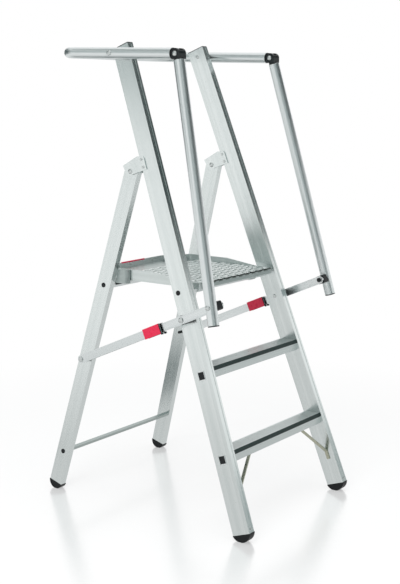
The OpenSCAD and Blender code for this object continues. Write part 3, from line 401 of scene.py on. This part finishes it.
def zinc_plate(name, dull, bright):
    finish, tree, shader = new_finish(name)
    shader.inputs["Metallic"].default_value = 1.0
    place = add(tree, "ShaderNodeTexCoord").outputs["Object"]
    cloud = add(tree, "ShaderNodeTexNoise", {
        "Vector": place, "Scale": 1 / PLATING_CLOUD, "Detail": 4.0,
        "Roughness": 0.6}).outputs["Fac"]
    colour = add(tree, "ShaderNodeMix", data_type="RGBA", inputs={
        "Factor": cloud, 6: linear(dull), 7: linear(bright)})
    tree.links.new(colour.outputs[2], shader.inputs["Base Color"])
    gloss = add(tree, "ShaderNodeMapRange", {
        "Value": cloud, "From Min": 0.3, "From Max": 0.7, "To Min": 0.22, "To Max": 0.40})
    tree.links.new(gloss.outputs[0], shader.inputs["Roughness"])
    return finish


zinc_steel = zinc_plate("bright_zinc_steel", "#BFC5C4", "#E2E6E5")
yellow_zinc = zinc_plate("yellow_zinc_steel", "#A3A48F", "#C6C8B8")
print("zinc finishes: 2")

# %% [markdown]
# Elbows, plugs, bushes and caps are moulded nylon: nearly black, with a fine spark texture that
# breaks the highlights, and edges rubbed a little paler by handling. The feet and nosings are
# rubber, which is duller, and the locks are red nylon with more shine.

# %% Moulded plastics and rubber
MOULD_CLOUD = 18 * MM


def moulded(name, body, worn, rough, grain_mm, relief_strength, shine):
    finish, tree, shader = new_finish(name)
    shader.inputs["Specular IOR Level"].default_value = shine
    place = add(tree, "ShaderNodeTexCoord").outputs["Object"]
    # the mould's grain, drawn a little coarser than it is so that it shows
    grain = add(tree, "ShaderNodeTexNoise", {
        "Vector": place, "Scale": 1 / (grain_mm * MM), "Detail": 3.0, "Roughness": 0.55})
    relief = add(tree, "ShaderNodeBump", {
        "Strength": relief_strength, "Distance": 0.15 * MM, "Height": grain.outputs["Fac"]})
    tree.links.new(relief.outputs[0], shader.inputs["Normal"])
    # edges are rubbed paler, in patches
    cloud = add(tree, "ShaderNodeTexNoise", {
        "Vector": place, "Scale": 1 / MOULD_CLOUD, "Detail": 3.0}).outputs["Fac"]
    edge = add(tree, "ShaderNodeNewGeometry").outputs["Pointiness"]
    rub = add(tree, "ShaderNodeMapRange", {
        "Value": edge, "From Min": 0.52, "From Max": 0.62, "To Min": 0.0, "To Max": 0.6})
    patchy = add(tree, "ShaderNodeMath", operation="MULTIPLY", use_clamp=True, inputs={
        0: rub.outputs[0], 1: cloud})
    colour = add(tree, "ShaderNodeMix", data_type="RGBA", inputs={
        "Factor": patchy.outputs[0], 6: linear(body), 7: linear(worn)})
    tree.links.new(colour.outputs[2], shader.inputs["Base Color"])
    gloss = add(tree, "ShaderNodeMapRange", {
        "Value": cloud, "From Min": 0.3, "From Max": 0.7,
        "To Min": rough - 0.06, "To Max": rough + 0.08})
    tree.links.new(gloss.outputs[0], shader.inputs["Roughness"])
    return finish


black_nylon = moulded("moulded_black_nylon", "#0C1113", "#2C3335", rough=0.32,
                      grain_mm=0.9, relief_strength=0.12, shine=0.3)
foot_rubber = moulded("moulded_black_rubber", "#0B1012", "#2A3133", rough=0.40,
                      grain_mm=1.4, relief_strength=0.20, shine=0.25)
nosing_rubber = moulded("ribbed_nosing_rubber", "#22302F", "#3A4845", rough=0.55,
                        grain_mm=1.2, relief_strength=0.30, shine=0.3)
red_nylon = moulded("moulded_red_nylon", "#D81540", "#E4587A", rough=0.27,
                    grain_mm=1.0, relief_strength=0.10, shine=0.4)
print("moulded finishes: 4")

# %% [markdown]
# A CAD solid has knife edges and loose triangles. For the many small parts the quickest honest way
# to a made look is a copy of the solid: its triangles are merged, flat ones joined, and each sharp
# edge is broken by a small round, which is what catches a highlight on the real part.

# %% Helpers for pieces
BODY_OF = {node: obj["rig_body"] for node, obj in NODES.items()}
WELD = 1e-6


def finish_piece(bm, name, nodes, finish, body=None, smooth=35):
    bmesh.ops.remove_doubles(bm, verts=bm.verts, dist=WELD)
    bmesh.ops.recalc_face_normals(bm, faces=bm.faces)
    piece = new_object(name, mesh_from(bm, name))
    piece.data.shade_smooth()
    piece.data.set_sharp_from_angle(angle=math.radians(smooth))
    piece.data.materials.append(finish)
    # large faces keep their own normal, so that a flat bar shades flat up to its rounded edge
    flat = piece.modifiers.new("flat_faces", "WEIGHTED_NORMAL")
    flat.weight, flat.keep_sharp = 100, True
    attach(piece, body or BODY_OF[nodes[0]])
    if nodes:
        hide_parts(*nodes)
    return piece


def merged_copy(node):
    bm = bmesh.new()
    bm.from_mesh(NODES[node].data)
    bmesh.ops.remove_doubles(bm, verts=bm.verts, dist=WELD)
    bmesh.ops.dissolve_limit(bm, angle_limit=math.radians(0.4), verts=bm.verts, edges=bm.edges)
    return bm


def sharp_edges(bm, angle=30):
    limit = math.radians(angle)
    return [e for e in bm.edges if len(e.link_faces) == 2 and e.calc_face_angle(0.0) > limit]


def round_edges(bm, radius_mm, edges=None, segments=2):
    chosen = sharp_edges(bm) if edges is None else edges
    bmesh.ops.bevel(bm, geom=chosen, offset=radius_mm * MM, offset_type="OFFSET", affect="EDGES",
                    segments=segments, profile=0.5, material=-1, clamp_overlap=True)


def rounded_piece(node, radius_mm, finish, segments=2):
    bm = merged_copy(node)
    round_edges(bm, radius_mm, segments=segments)
    return finish_piece(bm, node + "_made", [node], finish)


print("bodies:", sorted(set(BODY_OF.values())))

# %% [markdown]
# The four stiles are box extrusions with softly broken corners. They are copies of the solids with
# a rounder edge of three segments: the long line down each corner is most of what one sees of an
# extrusion, so it is a little rounder than the other parts' edges.

# %% Stiles
STILE_ROUND_MM = 2.2
STILES = {"left_front_stile": stile_front, "right_front_stile": stile_front,
          "left_rear_stile": stile_rear, "right_rear_stile": stile_rear}
for node, finish in STILES.items():
    rounded_piece(node, STILE_ROUND_MM, finish, segments=3)
print("stiles:", len(STILES))

# %% [markdown]
# A foot is a rubber moulding with a round sole. On its two sides a rim stands round a shallow
# pocket, as such feet are cored out to mould evenly. The pocket is the flat side, drawn smaller
# and then pushed in.

# %% Rubber feet
FEET = ("front_left_foot", "front_right_foot", "rear_left_foot", "rear_right_foot")
FOOT_ROUND_MM = 1.4
# a side is larger than this in square metres, and this close to the foot's own box
SIDE_AREA, SIDE_SLACK = 3e-4, 0.4 * MM
# the two steps of a pocket: how much smaller it gets, and how deep it is pushed
POCKET = ((0.84, 0.0), (0.95, 1.0 * MM))


def is_outer_side(face, low, high):
    x = face.calc_center_median().x
    return (abs(face.normal.x) > 0.99 and face.calc_area() > SIDE_AREA
            and min(abs(x - low[0]), abs(x - high[0])) < SIDE_SLACK)


for node in FEET:
    low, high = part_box(node)
    bm = merged_copy(node)
    round_edges(bm, FOOT_ROUND_MM, segments=3)
    sides = [f for f in bm.faces if is_outer_side(f, low, high)]
    for shrink, push in POCKET:
        sides = bmesh.ops.extrude_discrete_faces(bm, faces=sides)["faces"]
        for face in sides:
            to_heart = Matrix.Translation(-face.calc_center_median())
            bmesh.ops.scale(bm, verts=face.verts, vec=(1, shrink, shrink), space=to_heart)
            bmesh.ops.translate(bm, verts=face.verts, vec=-face.normal * push)
    finish_piece(bm, node + "_made", [node], foot_rubber)
print("feet:", len(FEET))

# %% [markdown]
# A tread is one hollow extrusion. Fine ribs run along its top for grip. Each rib is a narrow strip
# of a grid, bent up into a low arch in one move and closed below, and it is laid out along the
# tread's depth.

# %% Arched strip
RUN_OUT = 3.0 * MM
SINK = 0.05 * MM


def arched_strip(bm, middle, length, width, height, wave=None, cross=4, run=2):
    made = bmesh.ops.create_grid(bm, x_segments=run, y_segments=cross, size=0.5)["verts"]
    for v in made:
        along, across = v.co.x * length, v.co.y * 2.0
        # a wavy rib runs out flat at its ends
        end = min(1.0, (0.5 * length - abs(along)) / RUN_OUT) if wave else 1.0
        shift = wave(along) if wave else 0.0
        v.co = (middle[0] + along, middle[1] + shift + across * width / 2,
                middle[2] + height * end * math.sqrt(max(0.0, 1.0 - across * across)))
    rim = [e for e in bm.edges if e.is_boundary and e.verts[0] in made]
    bmesh.ops.holes_fill(bm, edges=rim, sides=0)


print("strips sink into what carries them by (m):", SINK)

# %% Treads with grip ribs
TREAD_RIBS, TREAD_RIB_FIRST, TREAD_RIB_STEP = 7, 12 * MM, 6.0 * MM
TREAD_RIB_WIDE, TREAD_RIB_HIGH, TREAD_RIB_SHORT = 2.4 * MM, 0.7 * MM, 9 * MM
TREAD_ROUND_MM = 0.8
for node in ("lower_tread", "upper_tread"):
    rounded_piece(node, TREAD_ROUND_MM, across_bar)
    low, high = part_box(node)
    bm = bmesh.new()
    for i in range(TREAD_RIBS):
        y = low[1] + TREAD_RIB_FIRST + i * TREAD_RIB_STEP
        arched_strip(bm, (0.0, y, high[2] - SINK), high[0] - low[0] - TREAD_RIB_SHORT,
                     TREAD_RIB_WIDE, TREAD_RIB_HIGH)
    finish_piece(bm, node + "_grip_ribs", [], across_bar, body=BODY_OF[node])
print("treads: 2, ribs on each:", TREAD_RIBS)

# %% [markdown]
# The deck is folded sheet: a floor, a wall all round that stands up as a rim at the rear and sides
# and hangs down as a skirt. The wall starts as the six corners of the plan, is drawn up in two
# steps, has its corners rolled, and its rim is cut off at a slope towards the front. Then it gets
# the thickness of the sheet.

# %% Plan of the deck
low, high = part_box("deck_tray")
DECK_HALF, DECK_FRONT, DECK_BACK = high[0], low[1], high[1]
SKIRT_Z, RIM_Z = low[2], high[2]
SHEET, CORNER_ROUND_MM = 2.5 * MM, 6.0
# the rim's height, where it starts behind the hinge, and the run in which it reaches that height
RIM_RISE, RIM_START, RIM_RUN = 18 * MM, 56 * MM, 132 * MM
FLOOR_Z = RIM_Z - RIM_RISE
# what is cut off the two rear corners, across and along
CUT_X, CUT_Y = 91 * MM, 62 * MM
PLAN = [(-DECK_HALF, DECK_FRONT), (DECK_HALF, DECK_FRONT), (DECK_HALF, DECK_BACK - CUT_Y),
        (DECK_HALF - CUT_X, DECK_BACK), (CUT_X - DECK_HALF, DECK_BACK),
        (-DECK_HALF, DECK_BACK - CUT_Y)]


def plan_corners(bm, z, shrink=1.0):
    return [bm.verts.new((x * shrink, y, z)) for x, y in PLAN]


print("deck floor at", round(FLOOR_Z, 4))

# %% Deck wall
def of_kind(geom, kind):
    return [g for g in geom if isinstance(g, kind)]


def is_upright(edge):
    return abs(edge.verts[0].co.z - edge.verts[1].co.z) > WELD


def drawn_up(bm, edges, rise):
    made = bmesh.ops.extrude_edge_only(bm, edges=edges)["geom"]
    bmesh.ops.translate(bm, verts=of_kind(made, bmesh.types.BMVert), vec=(0, 0, rise))
    return [e for e in of_kind(made, bmesh.types.BMEdge) if not is_upright(e)]


deck = bmesh.new()
corners = plan_corners(deck, SKIRT_Z)
ring = [deck.edges.new((corners[i - 1], corner)) for i, corner in enumerate(corners)]
ring = drawn_up(deck, ring, FLOOR_Z - SKIRT_Z)
drawn_up(deck, ring, RIM_Z - FLOOR_Z)
round_edges(deck, CORNER_ROUND_MM, edges=[e for e in deck.edges if is_upright(e)], segments=4)
# the rim comes loose from the skirt first, or the cut would take the skirt's upper edge with it
rim_faces = [f for f in deck.faces if f.calc_center_median().z > FLOOR_Z]
rim_geom = bmesh.ops.split(deck, geom=rim_faces)["geom"]
bmesh.ops.bisect_plane(deck, geom=rim_geom, dist=WELD, clear_outer=True,
                       plane_co=(0, DECK_FRONT + RIM_START, FLOOR_Z),
                       plane_no=(0, -RIM_RISE, RIM_RUN))
bmesh.ops.remove_doubles(deck, verts=deck.verts, dist=WELD)
bmesh.ops.recalc_face_normals(deck, faces=deck.faces)
bmesh.ops.solidify(deck, geom=deck.faces[:], thickness=SHEET)
print("deck wall faces:", len(deck.faces))

# %% [markdown]
# The floor is a flat sheet inside the wall: one face of the plan, drawn up by the sheet's
# thickness. It is a second finish on the same piece, darker than the wall: painted shade.

# %% Deck floor
plate = deck.faces.new(plan_corners(deck, FLOOR_Z - SHEET, shrink=1.0 - SHEET / DECK_HALF / 2))
lifted = bmesh.ops.extrude_face_region(deck, geom=[plate])["geom"]
# the floor, and the skirt along the front edge, get the darker finish, which is painted shade
front_skirt = [f for f in deck.faces if abs(f.normal.y) > 0.9
               and f.calc_center_median().y < DECK_FRONT + 4 * MM]
for face in [plate] + of_kind(lifted, bmesh.types.BMFace) + front_skirt:
    face.material_index = 1
bmesh.ops.translate(deck, verts=of_kind(lifted, bmesh.types.BMVert), vec=(0, 0, SHEET))
tray = finish_piece(deck, "deck_tray_made", ["deck_tray"], deck_wall, smooth=40)
tray.data.materials.append(shaded_sheet)
print("deck faces:", len(tray.data.polygons))

# %% [markdown]
# Wavy ribs are pressed into the floor for grip, each one half a wave out of step with its
# neighbours. The ribs are arched strips again, this time with a wave along them.

# %% Deck ribs
RIBS, RIB_FIRST, RIB_LAST = 11, 18 * MM, 304 * MM
RIB_WIDE, RIB_HIGH, RIB_SHORT = 12 * MM, 3.6 * MM, 30 * MM
WAVE, SWING = 40 * MM, 4.5 * MM


def wave_from(start):
    return lambda x: SWING * math.sin(2 * math.pi * x / WAVE + start)


bm = bmesh.new()
for i in range(RIBS):
    y = DECK_FRONT + RIB_FIRST + i * (RIB_LAST - RIB_FIRST) / (RIBS - 1)
    arched_strip(bm, (0, y, FLOOR_Z - SINK), 2 * DECK_HALF - RIB_SHORT, RIB_WIDE, RIB_HIGH,
                 wave=wave_from(i * math.pi), cross=8, run=140)
finish_piece(bm, "deck_grip_ribs", [], rib_wear_and_highlight, body=BODY_OF["deck_tray"],
             smooth=60)
print("deck ribs:", RIBS)

# %% [markdown]
# Along the front edge the ribs' ends are punched, which shows as a row of short dark slots under a
# toothed edge. Each tooth is a bevelled block on the sheet's edge, in the ribs' lighter finish with
# its painted highlight, and each slot a rounded inlay in the wall, painted dark as the shade inside
# the opening.

# %% Deck front edge
TEETH = 10
# size and edge radius in millimetres, and the place behind the front and above the floor
TOOTH = ((22, 7, 3.0), 1.2, (4.2 * MM, 0.9 * MM))
SLOT = ((20, 1.2, 4.2), 0.5, (-0.1 * MM, -4.4 * MM))
teeth, slots = bmesh.new(), bmesh.new()
for i in range(1, TEETH + 1):
    x = -DECK_HALF + i * 2 * DECK_HALF / (TEETH + 1)
    for shape, (size, round_mm, (back, up)) in ((teeth, TOOTH), (slots, SLOT)):
        block = bmesh.ops.create_cube(shape, size=1.0)["verts"]
        bmesh.ops.scale(shape, verts=block, vec=[c * MM for c in size])
        bmesh.ops.translate(shape, verts=block, vec=(x, DECK_FRONT + back, FLOOR_Z + up))
        round_edges(shape, round_mm, edges=list({e for v in block for e in v.link_edges}))
for shape, name, finish in ((teeth, "deck_edge_teeth", rib_wear_and_highlight),
                            (slots, "deck_edge_slot_shade", slot_shade)):
    finish_piece(shape, name, [], finish, body=BODY_OF["deck_tray"])
print("teeth and slots:", TEETH)

# %% [markdown]
# The guard rail is one tube, bent twice. A ring of forty points is drawn along the side, spun
# through a quarter turn for the bend, drawn on to the middle of the back, and mirrored. A spin
# keeps the tube round through the bend, where a chain of straight pieces would show kinks in the
# highlights.

# %% Guard rail
TUBE_R = 17.5 * MM
RAIL_HALF, BEND_R, RAIL_TILT = 258 * MM, 70 * MM, math.radians(1.6)
# where the tube starts and where its bend starts, measured back from the elbow's pin
RAIL_FRONT, RAIL_SIDE = 20.5 * MM, 418 * MM


def middle(node):
    low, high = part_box(node)
    return (low[1] + high[1]) / 2, (low[2] + high[2]) / 2


def far_ring(made):
    verts = of_kind(made, bmesh.types.BMVert)
    return verts, [e for e in of_kind(made, bmesh.types.BMEdge) if set(e.verts) <= set(verts)]


def drawn_out(bm, edges, run):
    verts, ring = far_ring(bmesh.ops.extrude_edge_only(bm, edges=edges)["geom"])
    bmesh.ops.translate(bm, verts=verts, vec=run)
    return verts + ring


ELBOW_Y, ELBOW_Z = middle("left_elbow_pin")
bm = bmesh.new()
bmesh.ops.create_circle(bm, segments=40, radius=TUBE_R)
bmesh.ops.rotate(bm, verts=bm.verts, cent=(0, 0, 0), matrix=Matrix.Rotation(math.pi / 2, 3, "X"))
bmesh.ops.translate(bm, verts=bm.verts, vec=(RAIL_HALF, RAIL_FRONT, 0))
front_ring = bm.edges[:]
side_end = drawn_out(bm, front_ring, (0, RAIL_SIDE - RAIL_FRONT, 0))
bend = bmesh.ops.spin(bm, geom=side_end, cent=(RAIL_HALF - BEND_R, RAIL_SIDE, 0), axis=(0, 0, 1),
                      angle=math.pi / 2, steps=20)["geom_last"]
drawn_out(bm, far_ring(bend)[1], (BEND_R - RAIL_HALF, 0, 0))
bmesh.ops.edgeloop_fill(bm, edges=front_ring)
bmesh.ops.mirror(bm, geom=bm.verts[:] + bm.edges[:] + bm.faces[:], axis="X", merge_dist=1e-5)
bmesh.ops.rotate(bm, verts=bm.verts, cent=(0, 0, 0), matrix=Matrix.Rotation(RAIL_TILT, 3, "X"))
bmesh.ops.translate(bm, verts=bm.verts, vec=(0, ELBOW_Y, ELBOW_Z))
finish_piece(bm, "guard_rail_made", ["guard_rail"], anodised_tube)
print("rail back at", round(ELBOW_Y + RAIL_SIDE + BEND_R, 4))

# %% [markdown]
# A drop tube is turned in one go: the outline of half the tube, with a rounded end, is spun round
# its own axis, and the result is laid along the line from the elbow down to the arm's bolt.

# %% Turned pieces
def turned(bm, profile, steps):
    line = [bm.verts.new((r * MM, 0.0, h * MM)) for h, r in profile]
    edges = [bm.edges.new(pair) for pair in zip(line, line[1:])]
    bmesh.ops.spin(bm, geom=line + edges, cent=(0, 0, 0), axis=(0, 0, 1), angle=2 * math.pi,
                   steps=steps, use_merge=True)
    # all that hangs together with the outline is this piece, whatever else the mesh holds
    found, todo = set(line), list(line)
    while todo:
        joined = {v for e in todo.pop().link_edges for v in e.verts} - found
        found |= joined
        todo.extend(joined)
    return list(found)


def laid_along(at, run):
    return Matrix.Translation(at) @ run.to_track_quat("Z", "Y").to_matrix().to_4x4()


SIDES = {"left": -1, "right": 1}
print("sides:", list(SIDES))

# %% Drop tubes
DROP_TOP = Vector((RAIL_HALF, ELBOW_Y - 1 * MM, ELBOW_Z))
DROP_FOOT_X = 335.5 * MM
# in millimetres: where the tube starts below the elbow, how far it runs past the bolt, its radius
# and the round of its ends
DROP_START, DROP_PAST, DROP_R, DROP_ROUND = 20, 56, 17.5, 1
for side, sign in SIDES.items():
    run = Vector((DROP_FOOT_X, *middle(side + "_drop_bolt"))) - DROP_TOP
    end = run.length / MM + DROP_PAST
    inner_r = DROP_R - DROP_ROUND
    bm = bmesh.new()
    outline = [(DROP_START, 0), (DROP_START, inner_r), (DROP_START + DROP_ROUND, DROP_R),
               (end * 0.5, DROP_R), (end - DROP_ROUND, DROP_R), (end, inner_r), (end, 0)]
    turned(bm, outline, steps=40)
    bmesh.ops.transform(bm, matrix=laid_along(DROP_TOP, run), verts=bm.verts)
    bmesh.ops.scale(bm, vec=(sign, 1, 1), verts=bm.verts)
    finish_piece(bm, side + "_drop_tube_made", [side + "_drop_tube"], anodised_tube)
print("drop tube ends below the elbow at (mm):", round(end, 1))

# %% [markdown]
# Bolts and rivets have low domed heads with a small dimple, as a riveting die leaves them. Each is
# a turned profile again: a dome, the shank, and the second head, spun round and laid across the
# step. The measures are in millimetres, outwards from the middle of the step.

# %% Profiles of bolts
def dome(tip, base, radius, points=5):
    arc = [(tip + (base - tip) * (1 - math.cos(a)), radius * math.sin(a))
           for a in (math.pi / 2 * i / points for i in range(1, points + 1))]
    dimple = tip + (base - tip) * 0.12
    return [(dimple, 0.0), (dimple, radius * 0.12)] + arc


def two_headed(inner, outer, shank, head_in, head_out, thick_in, thick_out):
    return (dome(inner - thick_in, inner, head_in) + [(inner, shank), (outer, shank)]
            + dome(outer + thick_out, outer, head_out)[::-1])


THROUGH = {
    "hinge_pins": two_headed(204.2, 235.4, shank=6, head_in=8.6, head_out=8.6,
                             thick_in=4, thick_out=4),
    "arm_pivot_bolts": two_headed(234.8, 296.2, shank=5, head_in=7.2, head_out=9,
                                  thick_in=2, thick_out=4),
    "rail_pivot_bolts": two_headed(186.4, 275.6, shank=5, head_in=7.2, head_out=9,
                                   thick_in=2, thick_out=4),
}
ELBOW_PIN = two_headed(240.5, 275.5, shank=5, head_in=8, head_out=8, thick_in=4, thick_out=4)
# the drop bolt has no inner head; its outer one is a collar with a low dome
DROP_BOLT = [(296.3, 0), (296.3, 4.9), (348, 4.9), (348, 8), (353.5, 8)] + dome(358, 354, 8)[::-1]
print("points in a hinge pin's outline:", len(THROUGH["hinge_pins"]))

# %% Domed bolts
ACROSS = Matrix.Rotation(math.pi / 2, 3, "Y")


def bolt(node, profile, signs):
    bm = bmesh.new()
    y, z = middle(node)
    for sign in signs:
        verts = turned(bm, profile, steps=24)
        bmesh.ops.rotate(bm, verts=verts, cent=(0, 0, 0), matrix=ACROSS)
        bmesh.ops.translate(bm, verts=verts, vec=(0, y, z))
        bmesh.ops.scale(bm, verts=verts, vec=(sign, 1, 1))
    finish_piece(bm, node + "_made", [node], zinc_steel)


for node, profile in THROUGH.items():
    bolt(node, profile, (1, -1))
for side, sign in SIDES.items():
    bolt(side + "_elbow_pin", ELBOW_PIN, (sign,))
    bolt(side + "_drop_bolt", DROP_BOLT, (sign,))
print("turned bolts:", 2 * len(THROUGH) + 2 * len(SIDES))

# %% [markdown]
# The arms are flat bars with a raised edge along both sides. The flat of the bar is inset and
# pressed in by less than a millimetre, which leaves the raised edge and a ring round each hole.

# %% Side arms
# the raised edge and then the pressed step: how wide, and how deep
ARM_STEPS = ((2.6 * MM, 0.0), (0.6 * MM, -0.8 * MM))
for side in SIDES:
    node = side + "_arm"
    bm = merged_copy(node)
    flats = [f for f in bm.faces if abs(f.normal.x) > 0.99]
    for width, depth in ARM_STEPS:
        bmesh.ops.inset_region(bm, faces=flats, thickness=width, depth=depth, use_even_offset=True)
    finish_piece(bm, node + "_made", [node], link_bar, smooth=30)
print("arms:", len(SIDES))

# %% [markdown]
# The nosing is a rubber strip on the tread's sloping nose, with a lip that folds down over the
# front. The strip is the solid's copy, and the lip is drawn out of its lower end in two moves.

# %% Tread nosings
NOSE_DOWN = Vector((0, -0.52, -0.855))
LIP_MOVES = ((0, -1.0 * MM, -0.5 * MM), (0, 0.0, -4.4 * MM))
LIP_ROUND_MM = 0.3
bm = merged_copy("tread_nosings")
lips = [f for f in bm.faces if f.normal.dot(NOSE_DOWN) > 0.9]
for move in LIP_MOVES:
    lips = bmesh.ops.extrude_discrete_faces(bm, faces=lips)["faces"]
    bmesh.ops.translate(bm, verts=list({v for f in lips for v in f.verts}), vec=move)
round_edges(bm, LIP_ROUND_MM)
finish_piece(bm, "tread_nosings_made", ["tread_nosings"], nosing_rubber)
print("nosings:", len(lips))

# %% [markdown]
# Each square plug sits in a flange whose palest finish is a painted highlight. The flange starts as
# the plug's own outer face, widened, inset to a ring, and given a thin wall; that way it lies
# square to the leaning stile without any measuring.

# %% Plug flanges
# a plug's outer face is larger than this in square metres, and this far from the step's middle
PLUG_AREA, PLUG_OUT = 3.6e-4, 0.25
FLANGE_WIDER, FLANGE_PROUD = (1, 1.30, 1.26), 0.3 * MM
FLANGE_RING, FLANGE_WALL, FLANGE_ROUND_MM = 2.2 * MM, 2.0 * MM, 0.4
bm = merged_copy("front_plugs")
caps = [f for f in bm.faces if abs(f.normal.x) > 0.95 and f.calc_area() > PLUG_AREA
        and abs(f.calc_center_median().x) > PLUG_OUT]
bmesh.ops.delete(bm, geom=[f for f in bm.faces if f not in caps], context="FACES")
hearts = bm.faces[:]
for face in hearts:
    to_heart = Matrix.Translation(-face.calc_center_median())
    bmesh.ops.scale(bm, verts=face.verts, vec=FLANGE_WIDER, space=to_heart)
    bmesh.ops.translate(bm, verts=face.verts, vec=face.normal * FLANGE_PROUD)
bmesh.ops.inset_individual(bm, faces=hearts, thickness=FLANGE_RING, depth=0.0)
bmesh.ops.delete(bm, geom=hearts, context="FACES")
bmesh.ops.solidify(bm, geom=bm.faces[:], thickness=FLANGE_WALL)
round_edges(bm, FLANGE_ROUND_MM)
finish_piece(bm, "tread_plug_flanges", [], flange_highlight,
             body=BODY_OF["front_plugs"])
print("flanges:", len(hearts))

# %% [markdown]
# A pop rivet holds each front foot. Its low dome is a turned profile, laid on the stile's front
# face and sunk into it a little.

# %% Foot rivets
AHEAD = Vector((0, -math.cos(FRONT_LEAN), math.sin(FRONT_LEAN)))
RIVET_AT, RIVET_SINK = Vector((285.5, -421.0, 47.3)) * MM, 0.2 * MM
RIVET = [(0.0, 0.0), (0.0, 3.6), (0.8, 3.4), (1.7, 2.2), (2.0, 0.9), (1.7, 0.0)]
bm = bmesh.new()
for sign in SIDES.values():
    head = turned(bm, RIVET, steps=16)
    at = RIVET_AT * Vector((sign, 1, 1)) - AHEAD * RIVET_SINK
    bmesh.ops.transform(bm, matrix=laid_along(at, AHEAD), verts=head)
finish_piece(bm, "front_foot_rivets", [], zinc_steel, body=BODY_OF["front_left_foot"])
print("foot rivets:", len(SIDES))

# %% [markdown]
# The spacer between a drop tube and its arm is a moulded block, square to the arm, with well
# rounded corners.

# %% Drop spacers
SPACER_DEEP, SPACER_HIGH = 27 * MM, 28 * MM
SPACER_CORNER_MM, SPACER_ROUND_MM = 4.0, 0.8
for side in SIDES:
    node = side + "_drop_bush"
    low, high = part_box(node)
    bm = bmesh.new()
    bmesh.ops.create_cube(bm, size=1.0)
    bmesh.ops.scale(bm, verts=bm.verts, vec=(high[0] - low[0], SPACER_DEEP, SPACER_HIGH))
    long_edges = [e for e in bm.edges if abs(e.verts[0].co.x - e.verts[1].co.x) > MM]
    round_edges(bm, SPACER_CORNER_MM, edges=long_edges, segments=4)
    round_edges(bm, SPACER_ROUND_MM)
    bmesh.ops.rotate(bm, verts=bm.verts, cent=(0, 0, 0), matrix=Matrix.Rotation(LINK_DROP, 3, "X"))
    bmesh.ops.translate(bm, verts=bm.verts, vec=[(a + b) / 2 for a, b in zip(low, high)])
    finish_piece(bm, node + "_made", [node], black_nylon)
print("drop spacers:", len(SIDES))

# %% [markdown]
# The lock is a red sleeve that slides over the knee of the side links, with a thin catch before it.
# Both are rounded copies. The faces that look along the link, and those inside the sleeve, get a
# finish of their own: black on the sleeve, which is painted shade, and bright zinc on the catch's
# front, which is a painted highlight.

# %% Locks
SLEEVE_ROUND_MM, CATCH_ROUND_MM = 1.0, 0.25
FORWARD = Vector((0, -math.cos(LINK_DROP), -math.sin(LINK_DROP)))


# paints a second finish on the faces that look along the link, and on the sleeve those inside it:
# painted shade on the sleeve, a painted highlight on the catch
def paint_shade_and_highlight(piece, finish, inside):
    piece.data.materials.append(finish)
    faces = piece.data.polygons
    axis = sum(f.center.x * f.area for f in faces) / sum(f.area for f in faces)
    # an inner face stands off the axis and looks back at it
    chosen = [f for f in faces if f.normal.dot(FORWARD) > 0.8
              or inside and f.normal.x * (f.center.x - axis) < -2 * MM]
    for face in chosen:
        face.material_index = 1
    return len(chosen)


for side in SIDES:
    sleeve = rounded_piece(side + "_lock_sleeve", SLEEVE_ROUND_MM, red_nylon,
                           segments=3)
    catch = rounded_piece(side + "_lock_catch", CATCH_ROUND_MM, black_nylon)
    print(side, "lock, faces with a second finish:", paint_shade_and_highlight(sleeve, black_nylon, True),
          paint_shade_and_highlight(catch, zinc_steel, False))

# %% [markdown]
# The remaining parts are rounded copies: brackets, bushes, plugs, caps, sleeves and straps. Each
# gets the radius that its making leaves, from a pressed sheet's half millimetre to a moulding's
# two.

# %% Rounded copies of the other parts
# each part: the radius of its edges in millimetres, its finish and its slot in the record
ROUNDED = {
    "front_stile_caps": (0.8, black_nylon, "black_plastic"),
    "front_plugs": (0.7, black_nylon, "black_plastic"),
    "tread_stays": (0.5, yellow_zinc, "zinc_steel"),
    "deck_pivot_tube": (0.5, anodised_tube, "tube_aluminium"),
    "left_hinge_bracket": (0.9, stile_front, "stile_aluminium"),
    "right_hinge_bracket": (0.9, stile_front, "stile_aluminium"),
    "bracket_rivets": (0.9, zinc_steel, "zinc_steel"),
    "arm_bushes": (0.8, black_nylon, "black_plastic"),
    "rail_bushes": (0.8, black_nylon, "black_plastic"),
    "deck_rest_tube": (0.5, anodised_tube, "tube_aluminium"),
    "rest_sleeves": (0.8, foot_rubber, "foot_rubber"),
    # the guides and the cross bar get the darker finish, painted shade
    "deck_guides": (0.7, shaded_sheet, "stile_aluminium"),
    "lower_cross_bar": (0.6, shaded_sheet, "stile_aluminium"),
    "rear_plugs": (0.6, black_nylon, "black_plastic"),
    "brace_bushes": (0.8, black_nylon, "black_plastic"),
    "deck_straps": (0.8, across_bar, "deck_aluminium"),
    "deck_edge_strips": (0.4, red_nylon, "red_plastic"),
    "deck_rivets": (0.8, zinc_steel, "zinc_steel"),
    "rail_end_plugs": (0.9, black_nylon, "black_plastic"),
}
for side in SIDES:
    ROUNDED.update({
        side + "_arm_cap": (0.9, black_nylon, "black_plastic"),
        side + "_brace": (0.7, link_bar, "stile_aluminium"),
        side + "_brace_bolts": (0.9, zinc_steel, "zinc_steel"),
        side + "_elbow": (2.0, black_nylon, "black_plastic"),
        side + "_drop_cap": (0.7, black_nylon, "black_plastic"),
    })
for node, (radius, finish, slot) in ROUNDED.items():
    rounded_piece(node, radius, finish, segments=3)
print("rounded pieces:", len(ROUNDED))
